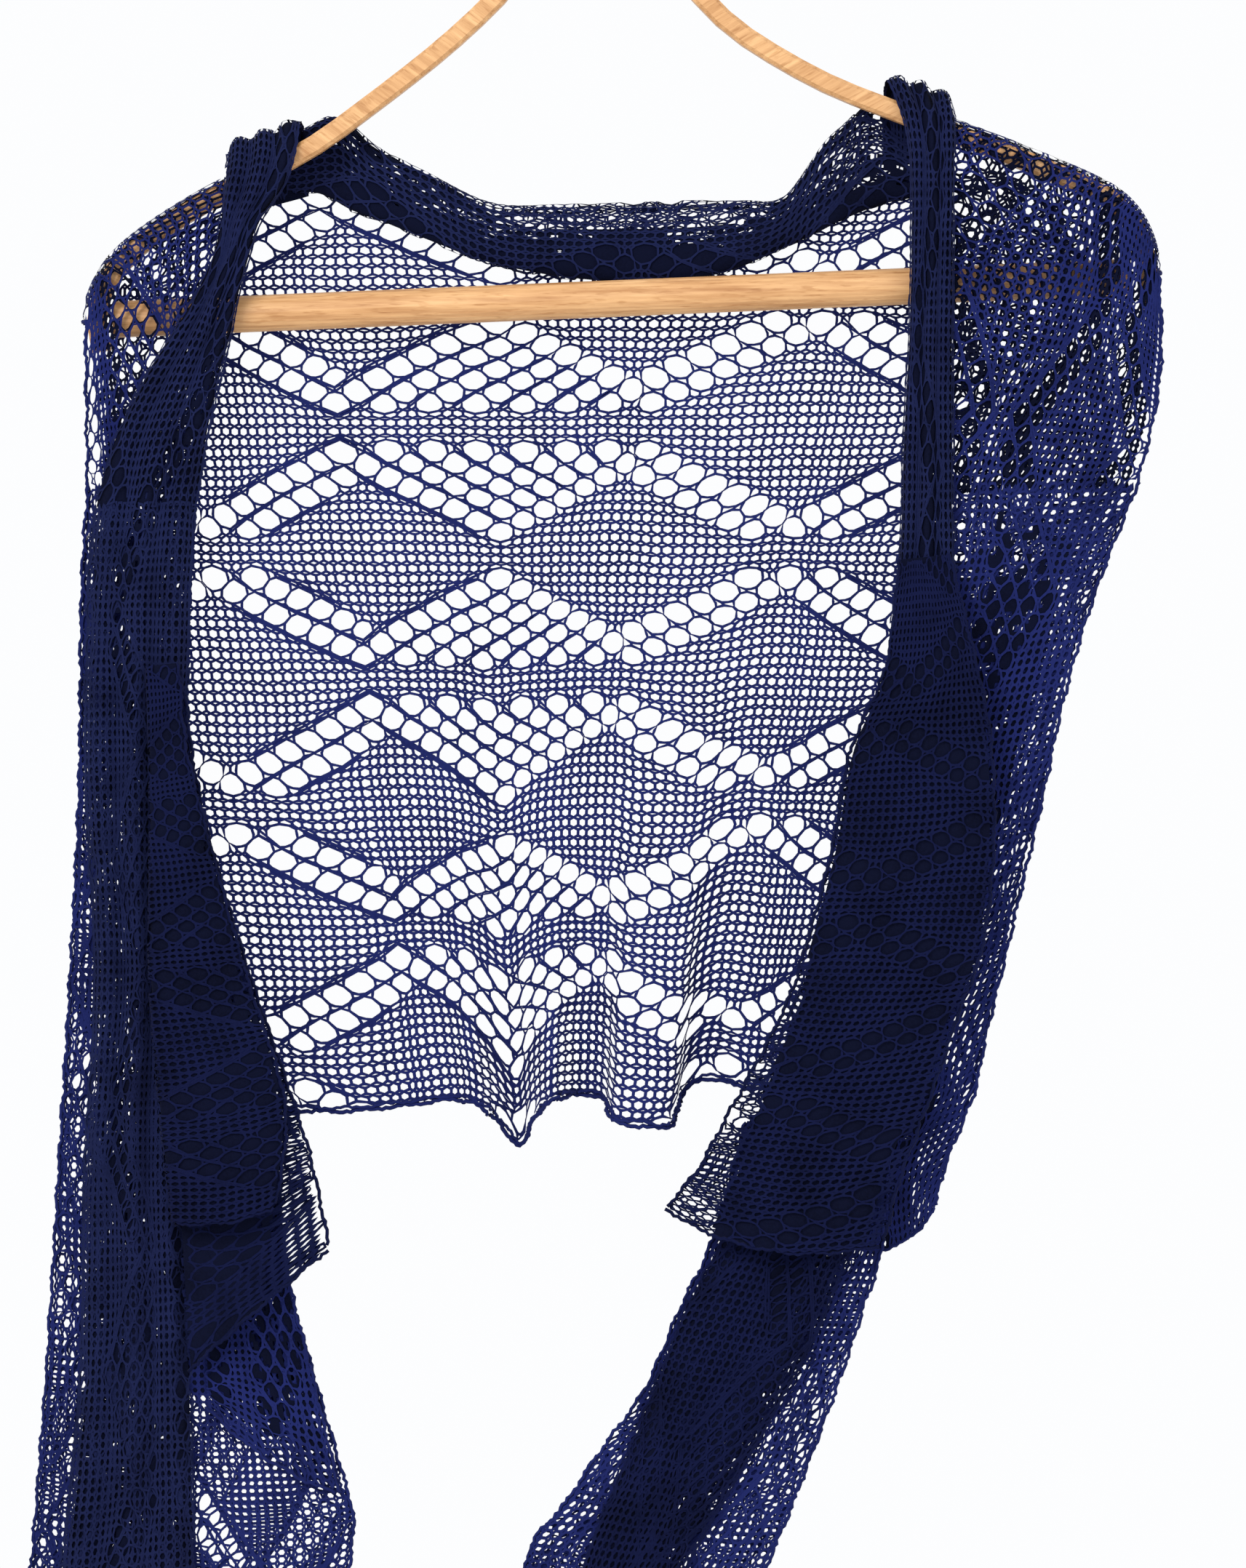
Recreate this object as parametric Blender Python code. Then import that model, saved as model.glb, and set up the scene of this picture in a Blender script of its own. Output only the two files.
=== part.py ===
"""A knitted lace shawl hung on a bentwood hanger.

Millimetres in the tables: "x" to the right, "down" below the hook's bearing point, "back" behind
the plane of the hanger. Every stretch of cloth is one thin wall lofted through its sections.
"""

import math

import bmesh
import bpy
import numpy as np
from mathutils import Vector
from mathutils.geometry import delaunay_2d_cdt

MM = 0.001
WALL = 1.2
SEAM_GAP = 0.4
HANGER_TILT = math.radians(2.4)

BAR_RADIUS = 7.5
BAR_LEFT = -207.4
BAR_RIGHT = 207.6
BAR_DOWN = 272.0
ARM_HALF_THICK = 4.0
ARM_HALF_DEEP = 6.0
ARM_CORNER = 2.0
NECK_RADIUS = 8.0
NECK_TOP = 84.0
NECK_BOTTOM = 99.0
HOOK_ROD_RADIUS = 1.8
HAIRPIN_RADIUS = 1.9

STITCH_UNIT = 14
EYELET_WIDTH = 7.2
EYELET_HEIGHT = 5.8
ROWS_TOP_DOWN = 233.8
ROW_PITCH = 4.37
LACE_REPEAT_ROWS = 24
FIRST_PEAK_ROW = -1
EYELETS_AT_MOST = 160
FOLD_LEVELS = ((0.12, 0.4, 0.6, 0.7, 0.8, 0.88, 0.95), (0.25, 0.5, 0.65, 0.75, 0.84, 0.92))


def table(columns, rows):
    names = columns.split()
    return [dict(zip(names, row)) for row in rows]


ARM_COLUMNS = "x down"
ARM_LEFT = table(ARM_COLUMNS, [
    (-11.5, 98.0),
    (-22.0, 117.0),
    (-34.0, 134.0),
    (-46.3, 148.2),
    (-70.0, 168.3),
    (-103.4, 192.1),
    (-126.9, 207.0),
    (-165.1, 224.6),
    (-187.0, 236.8),
    (-202.0, 247.9),
    (-210.6, 259.5),
    (-214.0, 271.8),
    (-212.5, 284.8),
])
ARM_RIGHT = table(ARM_COLUMNS, [
    (4.5, 98.0),
    (15.0, 117.5),
    (27.0, 136.5),
    (39.4, 151.8),
    (54.7, 167.0),
    (86.4, 187.3),
    (121.3, 203.0),
    (162.4, 220.8),
    (194.2, 235.8),
    (207.0, 245.6),
    (213.2, 257.5),
    (214.9, 271.0),
    (215.5, 285.2),
])
HOOK = table("x down", [
    (-3.5, 96.0),
    (-3.5, 74.0),
    (-2.0, 56.0),
    (8.0, 41.0),
    (17.5, 30.0),
    (19.8, 16.0),
    (14.0, 3.6),
    (0.0, -1.8),
    (-14.0, 3.6),
    (-19.8, 17.0),
    (-17.5, 28.0),
])

# Where the lace repeats stand along the back: a row per fold, from the left to the right.
BACK_STATIONS = table("unit x_top down_top back_top x_mid back_mid x_hem down_hem back_hem", [
    (-0.90, -197.1, 287.6, 8.4, -198.4, 9.0, -181.1, 578.8, 4.0),
    (-0.78, -194.6, 271.0, 8.4, -193.9, 9.5, -176.3, 590.0, 4.0),
    (-0.55, -188.5, 260.7, 8.4, -181.1, 10.5, -165.1, 597.4, 5.0),
    (-0.25, -176.6, 250.8, 8.6, -165.1, 11.5, -149.1, 600.6, 6.0),
    (0.10, -160.3, 239.6, 9.0, -145.9, 12.5, -127.4, 603.1, 9.0),
    (0.50, -142.1, 237.7, 10.5, -122.9, 13.0, -102.7, 604.1, 12.0),
    (0.92, -118.7, 231.3, 13.6, -99.2, 14.0, -75.5, 601.5, 15.0),
    (1.02, -112.4, 208.0, 19.4, -93.6, 14.4, -70.5, 600.7, 15.6),
    (1.30, -91.5, 210.8, 19.4, -77.4, 15.0, -56.3, 599.3, 11.0),
    (1.55, -73.9, 221.0, 19.4, -63.0, 14.5, -47.4, 601.2, 2.0),
    (1.75, -57.6, 229.0, 19.4, -51.5, 14.0, -39.0, 608.2, 14.0),
    (1.95, -41.3, 236.1, 19.4, -40.0, 14.0, -30.1, 618.8, 24.0),
    (2.20, -23.7, 236.4, 19.4, -26.6, 14.0, -24.2, 607.0, 12.0),
    (2.45, -7.0, 236.1, 19.4, -13.4, 14.0, -16.6, 599.6, 1.0),
    (2.70, 9.9, 235.8, 19.4, -0.3, 14.0, -6.4, 597.4, 17.0),
    (2.95, 26.9, 235.4, 19.4, 13.1, 14.0, 3.8, 599.0, 15.0),
    (3.10, 37.1, 235.1, 19.4, 22.1, 14.0, 8.6, 607.6, 0.0),
    (3.30, 51.2, 235.1, 19.4, 34.6, 14.0, 21.1, 609.8, -4.0),
    (3.50, 65.3, 234.5, 19.4, 47.0, 14.0, 32.0, 609.5, 1.0),
    (3.68, 78.1, 233.5, 19.4, 58.2, 14.0, 36.2, 598.0, 17.0),
    (3.85, 89.9, 223.9, 19.4, 68.8, 14.0, 45.4, 591.0, 19.0),
    (4.14, 113.8, 199.0, 19.4, 85.5, 13.4, 62.6, 594.4, 13.8),
    (4.24, 118.4, 217.6, 15.0, 90.0, 13.0, 67.8, 594.8, 13.0),
    (4.70, 146.6, 219.1, 11.0, 113.3, 13.0, 84.5, 595.1, 11.0),
    (5.00, 170.9, 221.0, 8.8, 130.9, 12.5, 97.9, 594.8, 8.0),
    (5.50, 201.3, 232.6, 8.6, 156.8, 11.0, 116.5, 592.9, 6.0),
    (5.85, 213.8, 239.6, 8.4, 174.1, 9.5, 130.9, 590.3, 4.0),
    (6.15, 219.8, 249.2, 8.4, 185.3, 8.5, 138.9, 585.8, 4.0),
    (6.30, 222.1, 262.6, 8.4, 190.1, 8.0, 142.1, 578.8, 4.0),
])

# The collar turned forward over the back: its fold line and the bottom of its roll.
COLLAR_STATIONS = table("x_fold down_fold x_roll down_roll", [
    (-110.4, 205.6, -109.4, 230.2),
    (-101.0, 202.6, -99.8, 236.0),
    (-88.3, 209.5, -86.4, 240.9),
    (-69.1, 219.1, -67.2, 248.6),
    (-49.9, 229.0, -49.3, 255.6),
    (-35.5, 233.2, -33.9, 259.8),
    (-11.5, 232.6, -10.9, 263.9),
    (14.1, 231.6, 14.1, 265.8),
    (36.5, 231.0, 35.8, 265.5),
    (58.9, 230.6, 57.6, 260.7),
    (78.1, 229.4, 74.9, 253.0),
    (94.1, 215.0, 90.9, 246.0),
    (104.0, 199.0, 102.0, 240.4),
    (112.6, 190.4, 111.0, 236.6),
])

SECTION = "x_a down_a back_a x_b down_b back_b x_c down_c back_c"
BAND_LEFT = table(SECTION, [
    (-143.4, 236.2, 10.5, -129.3, 233.0, 11.6, -115.6, 229.2, 12.8),
    (-147.2, 219.0, 8.6, -133.1, 214.6, 9.4, -117.1, 209.5, 8.6),
    (-148.8, 210.4, 0.0, -134.1, 205.6, 0.0, -119.0, 200.2, 0.0),
    (-149.4, 218.8, -9.0, -135.0, 216.6, -10.0, -121.0, 212.7, -9.0),
    (-150.1, 228.4, -12.5, -137.9, 228.1, -15.0, -125.4, 226.2, -12.5),
    (-151.7, 241.2, -14.0, -143.4, 241.2, -16.5, -135.0, 240.6, -14.0),
    (-154.9, 255.6, -14.5, -147.2, 255.6, -17.0, -139.5, 255.0, -14.5),
    (-162.9, 273.2, -14.5, -153.6, 272.9, -17.0, -144.0, 271.6, -14.5),
    (-172.2, 287.6, -14.5, -159.4, 287.0, -17.0, -146.6, 285.7, -14.5),
    (-183.7, 306.8, -14.5, -167.7, 305.5, -17.0, -150.7, 303.0, -14.5),
    (-195.5, 330.8, -14.5, -176.3, 329.8, -17.0, -156.2, 327.9, -14.5),
    (-202.9, 357.2, -14.5, -181.8, 357.2, -17.0, -160.6, 356.6, -14.5),
])
BAND_RIGHT = table(SECTION, [
    (118.4, 216.2, 13.2, 131.8, 216.6, 11.8, 145.3, 217.0, 10.6),
    (118.4, 193.0, 9.0, 131.8, 196.0, 9.4, 145.3, 201.0, 8.6),
    (119.7, 183.6, 0.0, 133.1, 186.0, 0.0, 145.9, 192.0, 0.0),
    (124.8, 194.8, -9.0, 136.3, 195.4, -10.0, 147.8, 200.0, -9.0),
    (128.3, 207.6, -12.5, 137.9, 207.6, -15.0, 147.5, 208.2, -12.5),
    (129.3, 223.6, -14.0, 138.2, 223.6, -17.0, 146.9, 223.6, -14.0),
    (129.3, 252.4, -14.5, 137.9, 252.4, -17.5, 146.6, 252.4, -14.5),
    (128.6, 287.6, -14.5, 137.3, 287.6, -17.5, 146.2, 287.6, -14.5),
    (126.1, 329.2, -14.5, 136.3, 329.2, -17.5, 146.6, 329.2, -14.5),
    (124.8, 370.8, -14.5, 135.7, 370.8, -17.5, 147.2, 370.8, -14.5),
    (121.9, 399.6, -14.5, 135.0, 399.6, -17.5, 149.1, 399.6, -14.5),
    (118.4, 427.4, -14.5, 133.8, 426.9, -17.5, 150.4, 425.6, -14.5),
])
TAIL_LEFT_OUTER = table(SECTION, [
    (-205.8, 350.0, -8.0, -183.7, 350.0, -10.0, -160.0, 350.0, -10.0),
    (-208.3, 393.2, -8.0, -185.9, 393.2, -10.0, -163.5, 393.2, -9.5),
    (-209.3, 470.0, -7.0, -186.9, 470.0, -9.0, -165.1, 470.0, -8.5),
    (-213.1, 550.0, -6.0, -189.1, 550.0, -8.0, -166.4, 550.0, -7.5),
    (-217.9, 630.0, -6.0, -192.3, 630.0, -8.0, -167.7, 630.0, -7.0),
    (-222.7, 710.0, -6.0, -193.9, 710.0, -8.0, -166.4, 710.0, -7.0),
    (-229.1, 790.0, -6.0, -196.5, 790.0, -8.0, -165.1, 790.0, -7.0),
    (-234.9, 854.0, -6.0, -200.3, 854.0, -8.0, -166.4, 854.0, -7.0),
    (-238.7, 910.0, -6.0, -203.5, 913.2, -8.0, -168.3, 911.6, -7.0),
])
TAIL_LEFT_MID = table(SECTION, [
    (-203.2, 358.2, -14.5, -182.1, 358.2, -17.0, -161.0, 357.6, -14.5),
    (-206.1, 393.2, -15.0, -184.3, 393.2, -17.5, -163.5, 393.2, -15.0),
    (-206.7, 470.0, -15.0, -185.6, 470.0, -17.5, -164.5, 470.0, -15.0),
    (-202.9, 550.0, -15.0, -184.3, 550.0, -17.5, -165.8, 550.0, -15.0),
    (-207.4, 630.0, -15.0, -186.9, 630.0, -17.5, -166.4, 630.0, -15.0),
    (-209.0, 710.0, -15.0, -186.2, 710.0, -17.5, -163.2, 710.0, -15.0),
    (-217.0, 790.0, -15.0, -189.1, 790.0, -17.5, -161.3, 790.0, -15.0),
    (-222.7, 854.0, -15.0, -192.6, 854.0, -17.5, -161.9, 854.0, -15.0),
    (-225.9, 914.8, -15.0, -194.6, 911.6, -17.5, -163.2, 908.4, -15.0),
])
FLOUNCE_LEFT_FRONT = table(SECTION, [
    (-178.6, 422.0, -26.3, -173.4, 421.4, -26.8, -168.0, 420.7, -26.3),
    (-177.9, 457.2, -30.0, -170.9, 455.6, -31.5, -165.1, 454.0, -30.0),
    (-177.3, 498.8, -31.0, -165.1, 497.2, -34.0, -154.9, 495.6, -30.0),
    (-177.0, 551.6, -31.5, -158.1, 550.0, -35.0, -140.2, 548.4, -30.0),
    (-172.8, 608.9, -31.5, -148.5, 605.7, -35.0, -124.8, 599.6, -30.0),
    (-168.0, 647.9, -31.5, -147.2, 647.3, -35.0, -128.6, 641.2, -30.0),
])
FLOUNCE_LEFT_BACK = table(SECTION, [
    (-176.0, 425.2, -20.9, -171.8, 424.6, -21.1, -167.7, 423.9, -20.9),
    (-174.1, 486.0, -23.0, -165.8, 484.4, -24.5, -158.1, 482.8, -23.0),
    (-173.4, 550.0, -23.0, -156.2, 548.4, -24.5, -139.5, 546.8, -23.0),
    (-170.2, 614.0, -23.0, -144.6, 611.4, -24.5, -118.7, 607.6, -23.0),
    (-167.0, 668.4, -23.0, -140.8, 659.4, -24.5, -111.0, 638.0, -23.0),
    (-164.2, 708.4, -23.0, -139.5, 686.3, -24.5, -107.2, 658.8, -23.0),
])
TAIL_LEFT_LOW = table(SECTION, [
    (-169.6, 598.0, -13.4, -149.8, 598.0, -12.2, -129.9, 596.4, -11.0),
    (-168.3, 670.0, -13.4, -145.9, 670.0, -12.2, -124.8, 668.4, -11.0),
    (-167.7, 710.0, -13.0, -140.2, 710.6, -12.0, -113.9, 710.0, -11.0),
    (-166.7, 754.8, -11.0, -133.8, 754.8, -12.5, -101.4, 753.2, -11.0),
    (-166.7, 777.2, -11.0, -132.5, 777.2, -13.0, -97.6, 772.4, -11.0),
    (-167.4, 802.8, -11.0, -133.8, 804.4, -13.0, -101.8, 801.2, -11.0),
    (-168.3, 854.0, -11.0, -138.9, 855.6, -12.0, -112.6, 854.0, -11.0),
    (-169.6, 908.4, -11.0, -143.4, 911.6, -12.0, -116.5, 913.2, -11.0),
])
TAIL_LEFT_SCALLOP = table(SECTION, [
    (-159.4, 623.6, -14.2, -142.1, 623.0, -13.6, -129.3, 620.4, -12.9),
    (-158.7, 670.0, -14.5, -140.2, 669.0, -15.5, -124.8, 666.8, -14.5),
    (-158.1, 703.6, -14.5, -135.0, 705.2, -15.5, -115.2, 706.8, -14.5),
    (-157.4, 723.4, -14.5, -130.6, 745.8, -15.5, -103.0, 758.6, -14.5),
])
TAIL_RIGHT_OUTER = table(SECTION, [
    (126.1, 351.0, -10.0, 174.1, 350.3, -11.0, 221.1, 349.4, -8.0),
    (124.2, 393.2, -10.0, 164.5, 393.2, -11.0, 204.2, 392.6, -9.0),
    (116.5, 438.0, -10.0, 154.9, 434.8, -11.0, 192.6, 431.6, -9.0),
    (106.2, 486.0, -9.0, 144.6, 482.8, -11.0, 182.1, 479.6, -8.0),
    (97.3, 535.9, -8.0, 132.5, 535.9, -10.0, 169.0, 535.9, -7.0),
    (91.5, 573.0, -8.0, 126.1, 573.0, -10.0, 160.0, 573.0, -7.0),
    (89.0, 595.8, -8.0, 122.2, 595.8, -10.0, 155.2, 595.8, -7.0),
    (86.4, 623.0, -8.0, 115.2, 625.5, -10.0, 143.4, 625.5, -7.0),
    (90.9, 646.6, -8.0, 117.1, 659.4, -10.0, 139.5, 642.8, -7.0),
])
TAIL_RIGHT_MID = table(SECTION, [
    (117.8, 428.4, -15.5, 133.8, 427.9, -18.5, 150.4, 426.6, -15.5),
    (106.2, 486.0, -15.5, 128.6, 484.7, -18.5, 151.0, 483.4, -15.5),
    (94.1, 550.0, -15.5, 119.0, 550.0, -18.5, 144.0, 550.0, -15.5),
    (73.3, 604.4, -15.5, 100.5, 604.4, -18.5, 127.7, 604.4, -15.5),
    (50.9, 656.6, -15.5, 78.1, 658.8, -18.5, 105.3, 660.4, -15.5),
    (37.1, 682.8, -15.5, 64.6, 687.0, -18.5, 92.8, 691.4, -15.5),
    (24.3, 714.8, -15.5, 49.9, 719.6, -18.5, 74.9, 724.7, -15.5),
    (10.9, 748.4, -15.5, 33.3, 753.2, -18.5, 55.7, 758.0, -15.5),
    (-3.5, 785.2, -15.5, 15.7, 790.0, -18.5, 35.8, 794.8, -15.5),
    (-16.3, 828.4, -15.5, 2.9, 833.2, -18.5, 23.7, 838.0, -15.5),
    (-24.3, 882.8, -15.5, -3.5, 886.0, -18.5, 18.9, 886.0, -15.5),
])
TAIL_RIGHT_LOW = table(SECTION, [
    (62.1, 607.6, -12.0, 91.5, 607.6, -12.5, 121.3, 607.6, -12.0),
    (48.3, 656.6, -12.0, 82.9, 657.5, -12.5, 117.4, 658.2, -12.0),
    (35.8, 682.8, -12.0, 73.3, 681.8, -12.5, 110.4, 681.8, -12.0),
    (21.4, 715.8, -12.0, 60.5, 712.2, -12.5, 100.8, 711.0, -12.0),
    (2.2, 742.6, -12.0, 42.9, 747.8, -12.5, 85.1, 752.9, -12.0),
    (-10.9, 762.2, -12.0, 33.3, 767.6, -12.5, 78.1, 770.8, -12.0),
    (-25.6, 781.0, -12.0, 23.7, 786.8, -12.5, 70.1, 790.0, -12.0),
    (-29.4, 809.2, -12.0, 14.1, 818.8, -12.5, 57.6, 825.2, -12.0),
    (-33.3, 854.0, -12.0, 4.5, 860.4, -12.5, 41.0, 866.8, -12.0),
    (-34.6, 892.4, -12.0, -0.3, 897.2, -12.5, 33.9, 898.8, -12.0),
])
FLOUNCE_RIGHT = table(SECTION, [
    (124.8, 378.8, -21.3, 135.0, 377.8, -21.9, 144.6, 376.6, -21.3),
    (119.0, 422.0, -26.0, 137.6, 420.4, -29.0, 154.9, 418.8, -26.0),
    (104.3, 457.2, -27.0, 132.5, 454.6, -31.0, 161.3, 452.4, -27.0),
    (97.3, 495.6, -27.0, 129.9, 494.3, -31.0, 162.6, 492.4, -27.0),
    (86.4, 535.9, -27.0, 122.9, 535.9, -31.0, 158.1, 535.0, -27.0),
    (78.1, 560.2, -27.0, 112.6, 562.8, -31.0, 149.1, 560.2, -27.0),
    (62.1, 591.0, -27.0, 97.9, 594.2, -31.0, 138.9, 591.0, -27.0),
    (52.2, 608.9, -27.0, 89.6, 613.4, -31.0, 132.8, 607.6, -27.0),
    (42.6, 626.5, -27.0, 81.3, 633.8, -31.0, 124.5, 630.0, -27.0),
    (29.4, 642.2, -27.0, 70.1, 658.8, -31.0, 117.8, 656.9, -27.0),
])


def clear_scene():
    for item in list(bpy.data.objects):
        bpy.data.objects.remove(item, do_unlink=True)


def make_material(name, color, roughness, metallic):
    material = bpy.data.materials.new(name)
    material.use_nodes = True
    shader = material.node_tree.nodes["Principled BSDF"]
    shader.inputs["Base Color"].default_value = (*color, 1.0)
    shader.inputs["Roughness"].default_value = roughness
    shader.inputs["Metallic"].default_value = metallic
    material.diffuse_color = (*color, 1.0)
    return material


def add_body(name, points_mm, faces, color, roughness=0.9, metallic=0.0):
    mesh = bpy.data.meshes.new(name)
    mesh.from_pydata([tuple(MM * value for value in point) for point in points_mm], [], faces)
    body = bmesh.new()
    body.from_mesh(mesh)
    bmesh.ops.recalc_face_normals(body, faces=body.faces)
    body.to_mesh(mesh)
    body.free()
    mesh.polygons.foreach_set("use_smooth", [True] * len(mesh.polygons))
    mesh.set_sharp_from_angle(angle=math.radians(50))
    mesh.materials.append(make_material(name + "_surface", color, roughness, metallic))
    item = bpy.data.objects.new(name, mesh)
    bpy.context.scene.collection.objects.link(item)
    return item


def world(x, down, back):
    return (x, back, -down)


def tilted(x, down):
    """A point of the hanger turned by its tilt about the bearing point."""
    cosine = math.cos(HANGER_TILT)
    sine = math.sin(HANGER_TILT)
    return x * cosine + down * sine, down * cosine - x * sine


def through(values, place):
    """Catmull-Rom value at a place counted in rows, for a list of numbers or arrays."""
    last = len(values) - 1
    index = min(int(place), last - 1)
    step = place - index
    before = values[max(index - 1, 0)]
    start = values[index]
    end = values[index + 1]
    after = values[min(index + 2, last)]
    slope_start = (end - before) / 2
    slope_end = (after - start) / 2
    square = step * step
    cube = square * step
    return (
        (2 * cube - 3 * square + 1) * start
        + (cube - 2 * square + step) * slope_start
        + (3 * square - 2 * cube) * end
        + (cube - square) * slope_end
    )


def row_at(rows, place):
    """The table's row at a fractional place, every column smoothed through its neighbours."""
    return {key: through([row[key] for row in rows], place) for key in rows[0]}


def even_places(points, count):
    """Places that cut the line through the points into equal lengths."""
    fine = np.linspace(0, len(points) - 1, 40 * len(points))
    line = np.array([through(points, place) for place in fine])
    length = np.concatenate([[0], np.cumsum(np.linalg.norm(np.diff(line, axis=0), axis=1))])
    return np.interp(np.linspace(0, length[-1], count), length, fine)


def quadratic(first, middle, last, part):
    return (
        first * (1 - part) * (1 - 2 * part)
        + middle * 4 * part * (1 - part)
        + last * part * (2 * part - 1)
    )


def section_points(row, count, turn=0.0):
    """The cloth across one section; a turn folds its first edge back behind it."""
    corners = [np.array(world(row["x_" + k], row["down_" + k], row["back_" + k])) for k in "abc"]
    points = [quadratic(corners[0], corners[1], corners[2], part) for part in np.linspace(0, 1, count)]
    if turn > 0:
        points = hairpin(points, turn) + points
    return points


def hairpin(points, turn):
    """A half-round fold at the first point and a short leg behind the cloth."""
    inward = points[1] - points[0]
    inward[1] = 0
    inward /= np.linalg.norm(inward)
    leg = min(turn, 0.6 * np.linalg.norm(points[-1] - points[0]))
    centre = points[0] + np.array((0, HAIRPIN_RADIUS, 0))
    start = centre + np.array((0, HAIRPIN_RADIUS, 0))
    bend = []
    for angle in np.linspace(math.pi, 0, 6)[1:-1]:
        aside = inward * HAIRPIN_RADIUS * math.sin(angle)
        bend.append(centre - aside - np.array((0, HAIRPIN_RADIUS * math.cos(angle), 0)))
    return [start + inward * leg, start + inward * leg / 2, start] + bend


def surface_normals(grid):
    along = np.gradient(grid, axis=0)
    across = np.gradient(grid, axis=1)
    normals = np.cross(along, across)
    return normals / np.linalg.norm(normals, axis=2, keepdims=True)


def wall_from_grid(name, grid, color):
    """A closed wall about a grid of mid-surface points."""
    grid = np.array(grid)
    rows, columns = grid.shape[:2]
    offset = surface_normals(grid) * WALL / 2
    points = list((grid + offset).reshape(-1, 3)) + list((grid - offset).reshape(-1, 3))
    under = rows * columns
    faces = []
    for i in range(rows - 1):
        for j in range(columns - 1):
            a = i * columns + j
            quad = (a, a + 1, a + columns + 1, a + columns)
            faces.append(quad)
            faces.append(tuple(under + index for index in reversed(quad)))
    rim = [j for j in range(columns)]
    rim += [i * columns + columns - 1 for i in range(1, rows)]
    rim += [(rows - 1) * columns + j for j in range(columns - 2, -1, -1)]
    rim += [i * columns for i in range(rows - 2, 0, -1)]
    for start, end in zip(rim, rim[1:] + rim[:1]):
        faces.append((end, start, under + start, under + end))
    return add_body(name, points, faces, color)


def pleated(grid, waves, wave_depth, flat_start):
    """The grid pushed outward in even pleats that leave its two edges where they are."""
    normals = surface_normals(grid)
    if normals[-1, :, 1].mean() > 0:
        normals = -normals
    widths = np.linalg.norm(grid[:, -1] - grid[:, 0], axis=1)
    depths = np.minimum(wave_depth, 0.0028 * widths ** 2)
    if flat_start:
        depths[:7] *= np.linspace(0, 1, 7)
    crests = 1 - np.cos(2 * math.pi * waves * np.linspace(0, 1, grid.shape[1]))
    return grid + normals * (depths[:, None] * crests[None, :])[:, :, None]


def sheet(name, rows, steps, across, color, waves=0, wave_depth=0.0, turn=0.0, crossing=0):
    """A stretch of cloth through its sections; the first crossing rows bend round the arm."""
    middles = [np.array(world(row["x_b"], row["down_b"], row["back_b"])) for row in rows]
    places = list(np.linspace(0, crossing, 3 * crossing, endpoint=False)) if crossing else []
    places += [crossing + place for place in even_places(middles[crossing:], steps - len(places))]
    grid = np.array([section_points(row_at(rows, place), across, turn) for place in places])
    if waves:
        grid = pleated(grid, waves, wave_depth, crossing > 0)
    wall_from_grid(name, grid, color)


def arm_line(rows):
    return [np.array(tilted(row["x"], row["down"])) for row in rows]


def arm_frame(points, place):
    """A point of the arm and its outward direction, both in (x, down)."""
    point = through(points, place)
    ahead = through(points, min(place + 0.05, len(points) - 1))
    behind = through(points, max(place - 0.05, 0))
    along = (ahead - behind) / np.linalg.norm(ahead - behind)
    outward = np.array((along[1], -along[0]))
    if np.dot(outward, point - np.array((0, 330))) < 0:
        outward = -outward
    return point, outward


def rounded_strip():
    """The arm's section: (outward, back) points round a strip with rounded edges."""
    outline = []
    for sign_out, sign_back, start in ((1, 1, 0), (-1, 1, 90), (-1, -1, 180), (1, -1, 270)):
        centre_out = sign_out * (ARM_HALF_THICK - ARM_CORNER)
        centre_back = sign_back * (ARM_HALF_DEEP - ARM_CORNER)
        for turn in (15, 75):
            angle = math.radians(start + turn)
            outline.append((
                centre_out + ARM_CORNER * math.cos(angle),
                centre_back + ARM_CORNER * math.sin(angle),
            ))
    return outline


def capped_tube(name, rings, color, roughness, metallic=0.0):
    sides = len(rings[0])
    points = [point for ring in rings for point in ring]
    faces = [tuple(range(sides)), tuple((len(rings) - 1) * sides + k for k in reversed(range(sides)))]
    for i in range(len(rings) - 1):
        for k in range(sides):
            a = i * sides + k
            b = i * sides + (k + 1) % sides
            faces.append((a, b, b + sides, a + sides))
    return add_body(name, points, faces, color, roughness, metallic)


WOOD = (0.58, 0.30, 0.11)
STEEL = (0.62, 0.62, 0.60)


def build_arm(name, rows):
    points = arm_line(rows)
    rings = []
    for place in even_places(points, 25):
        point, outward = arm_frame(points, place)
        ring = []
        for out, back in rounded_strip():
            x, down = point + outward * out
            ring.append(world(x, down, back))
        rings.append(ring)
    capped_tube(name, rings, WOOD, 0.45)


def build_bar():
    sides = 24
    rings = []
    for x, scale in ((BAR_LEFT, 0.92), (BAR_LEFT + 1.2, 1.0), (BAR_RIGHT - 1.2, 1.0), (BAR_RIGHT, 0.92)):
        ring = []
        for k in range(sides):
            angle = 2 * math.pi * k / sides
            tilted_x, tilted_down = tilted(x, BAR_DOWN + BAR_RADIUS * scale * math.cos(angle))
            ring.append(world(tilted_x, tilted_down, BAR_RADIUS * scale * math.sin(angle)))
        rings.append(ring)
    capped_tube("hanger_bar", rings, WOOD, 0.45)


def build_neck():
    """A turned collar over the two arm tops, with a hole for the hook's stem left as a flat top."""
    sides = 24
    rings = []
    for down, radius in ((NECK_BOTTOM - 2.6, 9.4), (NECK_BOTTOM - 4.0, 10.0), (NECK_TOP + 1.5, 9.0), (NECK_TOP, 7.0)):
        ring = []
        for k in range(sides):
            angle = 2 * math.pi * k / sides
            x, tilted_down = tilted(-3.5 + radius * math.cos(angle), down)
            ring.append(world(x, tilted_down, 0.8 * radius * math.sin(angle)))
        rings.append(ring)
    capped_tube("hanger_neck", rings, STEEL, 0.35, 1.0)


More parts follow.
